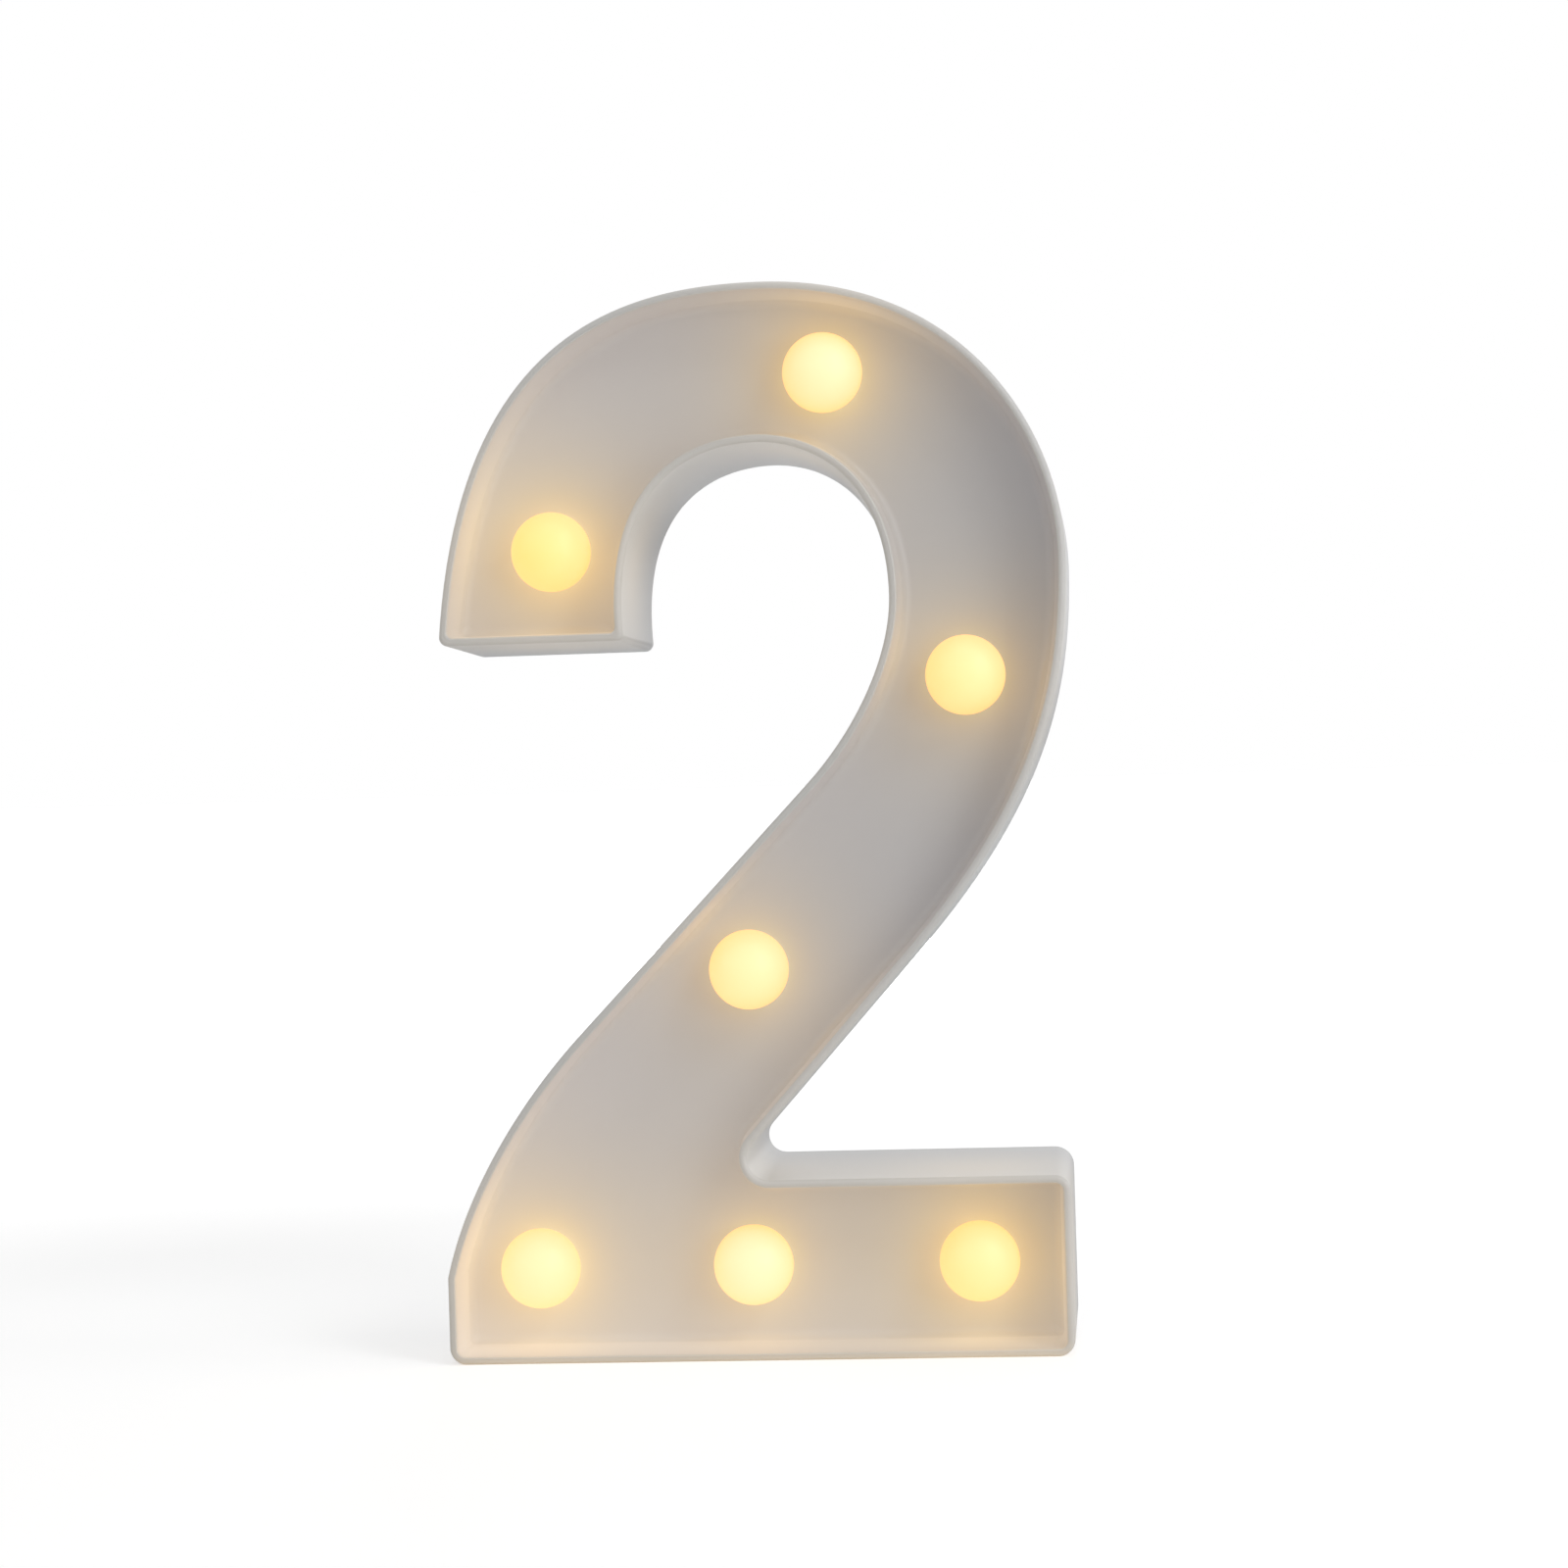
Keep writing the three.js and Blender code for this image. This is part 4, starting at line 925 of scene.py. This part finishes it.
# %% The knob
black_plastic = finish("black_plastic", colour(38, 38, 40), 0.42, cloud=0.05, cloud_scale=300,
                       grain=(3000, 0.015))
KNOB_X, KNOB_Y, KNOB_Z = 46.825, (17.7, 21.6), (16.5, 20.1)
RIB_HIGH, RIB_APART = 0.44, 1.333
wave_x = np.linspace(2.0, -2.0, 49)
wave_y = KNOB_Y[1] - RIB_HIGH / 2 * (1 - np.cos(2 * np.pi * wave_x / RIB_APART))
knob_line = closed_line(np.vstack([
    [(-2.2, KNOB_Y[0]), (2.2, KNOB_Y[0]), (2.2, KNOB_Y[1] - 0.5)],
    np.column_stack([wave_x, wave_y]), [(-2.2, KNOB_Y[1] - 0.5)],
]) + (KNOB_X, 0))
knob_rows = profile([(-0.5, KNOB_Z[0]), (0, KNOB_Z[0]), (0, KNOB_Z[1]), (-0.5, KNOB_Z[1])],
                    [0.15, 0.15], steps=3, margin=0.03)
knob_rows = np.clip(knob_rows, (-0.12, 0), None)  # shrunk by 0.5, the ribs' line would cross itself
piece("knob_fine", along_z(capped(knob_line, knob_rows)), black_plastic,
      "switch", ["switch_knob"])

# %% [markdown]
# ## Cells and contacts
# With the door open two cells show, side by side and opposite ways round. Each is a steel
# can in a printed sleeve, here a plain blue one that is rolled a little over both ends. The
# contacts are plated spring steel: thin plates with rounded corners, and a coil that tapers.
# The coil is a tube round a helix: the wire's own circle lies in the plane of the radius
# and the axis.

# %% Cells
CELL, CELL_LONG, CELL_Y = 7.25, 50.5, 11.95
sleeve = finish("cell_sleeve", colour(52, 98, 148), 0.34, cloud=0.04, cloud_scale=120,
                grain=(500, 0.01))
can_end = finish("cell_can", colour(196, 198, 200), 0.34, cloud=0.05, cloud_scale=400,
                 grain=(1800, 0.006), Metallic=1.0)
can_rows = profile([(0, 0), (4.4, 0), (4.6, 0.35), (6.1, 0.35)], [0.15, 0.1], steps=3, margin=0.03)
sleeve_rows = profile([(6.1, 0.35), (6.3, 0.05), (CELL, 0.3), (CELL, 49.0), (6.2, 49.25), (6.0, 49.0)],
                      [0.1, 0.4, 0.4, 0.08], steps=4, margin=0.03)
button_rows = profile([(6.0, 49.0), (2.9, 49.0), (2.75, CELL_LONG), (0, CELL_LONG)],
                      [0.15, 0.35], steps=4, margin=0.03)

# Each cell's height, the place of its flat end and the way that it points
LOWER_Z, UPPER_Z = 10.85, 25.75
cells = [(LOWER_Z, 23.05, -1), (UPPER_Z, -23.05, 1)]
for number, (z, flat_end, sign) in enumerate(cells, 1):
    ways = [band(rings(circle(CELL_Y, z, 72), rows * (1, sign) + (0, flat_end))) + (shade,)
            for rows, shade in ((can_rows, 1), (sleeve_rows, 0), (button_rows, 1))]
    piece(f"cell_fine_{number}", along_x(ways), [sleeve, can_end],
          "light", [f"battery_{number}"])

# %% Springs, plates and tabs
nickel = finish("nickel_plate", colour(190, 188, 182), 0.36, cloud=0.06, cloud_scale=300,
                grain=(1500, 0.01), stretch=(1, 1, 6), Metallic=1.0)
PLATE_Y, LOW_PLATE, HIGH_PLATE = (5.5, 18.4), (4.8, 16.9), (19.7, 31.8)


def spring(start, sign, z, turns=4, steps=30, sides=10, wire=0.28, base=3.6, tip=2.4, reach=4.4):
    """Along the coil the radius goes evenly from base to tip and the place along X from one end
    to the other. Round the wire, a circle in the plane of the coil's radius and axis."""
    share = np.linspace(0, 1, turns * steps + 1)[:, None]
    around = np.linspace(0, 2 * np.pi, sides, endpoint=False)[None]
    angle = 2 * np.pi * turns * share
    thick = np.full(share.shape, wire)
    out = base + (tip - base) * share + thick * np.cos(around)
    x = start + sign * (wire + share * (reach - 2 * wire) + thick * np.sin(around))
    grid = np.stack([x, CELL_Y + out * np.cos(angle), z + out * np.sin(angle)], -1)
    ends = [np.repeat(grid[i].mean(axis=0, keepdims=True), sides, axis=0)[None] for i in (0, -1)]
    return band(np.concatenate([ends[0], grid, ends[1]]))


def contact_plate(x0, x1, z0, z1):
    rows = profile([(-0.2, x0), (0, x0), (0, x1), (-0.2, x1)], [0.08, 0.08], steps=3, margin=0.02)
    return along_x(capped(rectangle(*PLATE_Y, z0, z1, 1.2), rows))


def tab(z):
    rows = [(0, CELL_Y - 1.5), (0, CELL_Y + 1.5)]
    return capped(rectangle(BAY_X - 0.7, BAY_X + 3.5, z - 0.2, z + 0.2, 0.05, 2), rows)


def dimple(x, sign, z):
    """A pressed bump for a cell's button to rest on: its height falls as the cosine of radius."""
    share = np.linspace(0, 1, 12)
    rows = np.column_stack([2.4 * share, x + sign * 0.25 * (0.5 + 0.5 * np.cos(np.pi * share))])
    rows = np.vstack([rows, [(2.4, x - sign * 0.1), (0, x - sign * 0.1)]])
    return along_x([band(rings(circle(CELL_Y, z, 32), rows))])


# %% Contacts
LEFT, RIGHT = (-28.15, -27.75), (27.75, 28.15)
bridge = contact_plate(*LEFT, LOW_PLATE[0], HIGH_PLATE[1])
bridge += [spring(-28.03, 1, UPPER_Z)] + dimple(LEFT[1], 1, LOWER_Z)
negative = contact_plate(*RIGHT, *LOW_PLATE)
negative += [spring(28.03, -1, LOWER_Z)] + tab(LOWER_Z)
positive = contact_plate(*RIGHT, *HIGH_PLATE)
positive += dimple(RIGHT[0], -1, UPPER_Z) + tab(UPPER_Z)
for name, parts in (("bridge", bridge), ("negative", negative), ("positive", positive)):
    piece(f"{name}_fine", parts, nickel, "light", [f"{name}_contact"])

# %% [markdown]
# ## What stays as the CAD made it
# The caps, diodes, wires, resistor and switch body are inside the closed light. Their CAD
# shapes are right, so they keep them and get a finish of their own. The resistor's coloured
# rings are bands of X, from its own coordinates.

# %% Finishes for the CAD nodes
cap_plastic = finish("cap_plastic", colour(226, 224, 218), 0.5, cloud=0.02, grain=(1800, 0.02))
epoxy = finish("diode_epoxy", colour(244, 232, 176), 0.08, cloud=0.02, grain=(400, 0.004),
               Transmission_Weight=0.6, IOR=1.54)
red_wire, black_wire = [
    finish(name, tint, 0.38, cloud=0.04, cloud_scale=400, grain=(1500, 0.01))
    for name, tint in (("red_wire", colour(176, 36, 30)), ("black_wire", colour(34, 34, 36)))
]

# %% The resistor's lacquer and rings
lacquer_tint = colour(203, 178, 132)
lacquer = finish("resistor_lacquer", lacquer_tint, 0.34, cloud=0.03, cloud_scale=500,
                 grain=(1500, 0.01))
MIDDLE, REACH = 47.48, 6  # the resistor's middle, and how far the ramp goes to each side of it
# Each stop is a place from the middle and a colour. None goes back to the lacquer.
stops = [(-2.0, (120, 60, 30)), (-1.5, None), (-0.9, (30, 30, 30)), (-0.4, None),
         (0.2, (170, 90, 30)), (0.7, None), (1.6, (190, 160, 70)), (2.0, None)]
tree = lacquer.node_tree
ramp = new_node(tree, "ValToRGB")
elements = ramp.color_ramp.elements
ramp.color_ramp.interpolation = "CONSTANT"
elements[0].color = lacquer_tint
for x, tint in stops:
    elements.new((x + REACH) / (2 * REACH)).color = colour(*tint) if tint else lacquer_tint
elements[-1].color = lacquer_tint
axes = own_place(tree)[1]
along = spread(axes["X"], 0, 1, (MIDDLE - REACH) / 1000, (MIDDLE + REACH) / 1000)
link(along, ramp.inputs["Fac"])
link(ramp.outputs["Color"], shader_of(lacquer).inputs["Base Color"])

# %% Finishes put on
kept = {
    "diode_cap": cap_plastic, "diode": epoxy, "switch_body": black_plastic, "switch_screw": zinc,
    "resistor": lacquer, "supply_wire_red": red_wire, "switch_wire_red": red_wire,
    "string_wire_red": red_wire, "string_wire_black": black_wire,
}
for name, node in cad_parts.items():
    stem = name.rstrip("0123456789").rstrip("_")
    if stem in kept:
        node.data.materials.clear()
        node.data.materials.append(kept[stem])
        print("finish on", name)

# %% [markdown]
# ## The floor and the light
# The light stands on a white sheet in a white room. The floor is a true matt white, so it
# takes the light's soft shadow. For the camera alone it gets a little more, and more of it
# further off, so that it fades into the background with no line between them. The room gives an
# even light from all round. Five large soft lamps, most of them high or at the right, give
# it a direction, at a level where a colour comes out about as it was written.

# %% The floor
bpy.context.scene.view_settings.view_transform = "Standard"

SIDE = 30
floor_mesh = bpy.data.meshes.new("floor")
corners = [(-SIDE, -SIDE, 0), (SIDE, -SIDE, 0), (SIDE, SIDE, 0), (-SIDE, SIDE, 0)]
floor_mesh.from_pydata(corners, [], [(0, 1, 2, 3)])
floor = added("floor", floor_mesh)
paper = bpy.data.materials.new("paper")
paper.use_nodes = True
floor_mesh.materials.append(paper)
tree, shader = paper.node_tree, shader_of(paper)
shader.inputs["Base Color"].default_value = (0.88, 0.88, 0.88, 1)
shader.inputs["Roughness"].default_value = 0.9
shader.inputs["Specular IOR Level"].default_value = 0.1
shader.inputs["Emission Color"].default_value = (1, 1, 1, 1)
far = new_node(tree, "VectorMath", operation="LENGTH")
link(new_node(tree, "TexCoord").outputs["Object"], far.inputs[0])
lift = spread(far.outputs["Value"], 0.46, 0.78, 0.22, 0.7)
for_camera = new_node(tree, "LightPath").outputs["Is Camera Ray"]
link(sums("MULTIPLY", lift, for_camera), shader.inputs["Emission Strength"])

# %% The room
ROOM = 0.38  # the room's light on the object. The camera, metal and glass see a room of 1
world = bpy.data.worlds.new("room")
bpy.context.scene.world = world
world.use_nodes = True
sky = world.node_tree.nodes["Background"]
sky.inputs["Color"].default_value = (1, 1, 1, 1)
rays = new_node(world.node_tree, "LightPath").outputs
seen = rays["Is Camera Ray"]
for kind in ("Is Glossy Ray", "Is Transmission Ray"):
    seen = sums("MAXIMUM", seen, rays[kind])
link(spread(seen, ROOM, 1.0), sky.inputs["Strength"])

# %% The lamps
MIDDLE_OF_LIGHT = Vector((0, 0, 0.11))


def softbox(name, place, size, watts):
    """A square lamp at place that faces the middle of the light, all in metres."""
    lamp = bpy.data.lights.new(name, "AREA")
    lamp.shape, lamp.size, lamp.energy = "SQUARE", size, watts
    made = added(name, lamp)
    made.location = place
    made.rotation_euler = (MIDDLE_OF_LIGHT - Vector(place)).to_track_quat("-Z", "Y").to_euler()
    made.visible_camera = False
    return made


softbox("front_right", (0.8, -0.8, 0.3), 0.5, 1.5)
softbox("upper_right", (0.8, -0.6, 0.9), 0.4, 2.2)
softbox("right", (1.1, -0.1, 0.4), 0.5, 1.4)
softbox("top", (0.0, -0.1, 1.3), 0.5, 1.3)
behind = softbox("back", (-0.1, 1.6, 0.12), 0.4, 8.0)
behind.visible_glossy = False  # else the walls, seen at a slant, mirror it
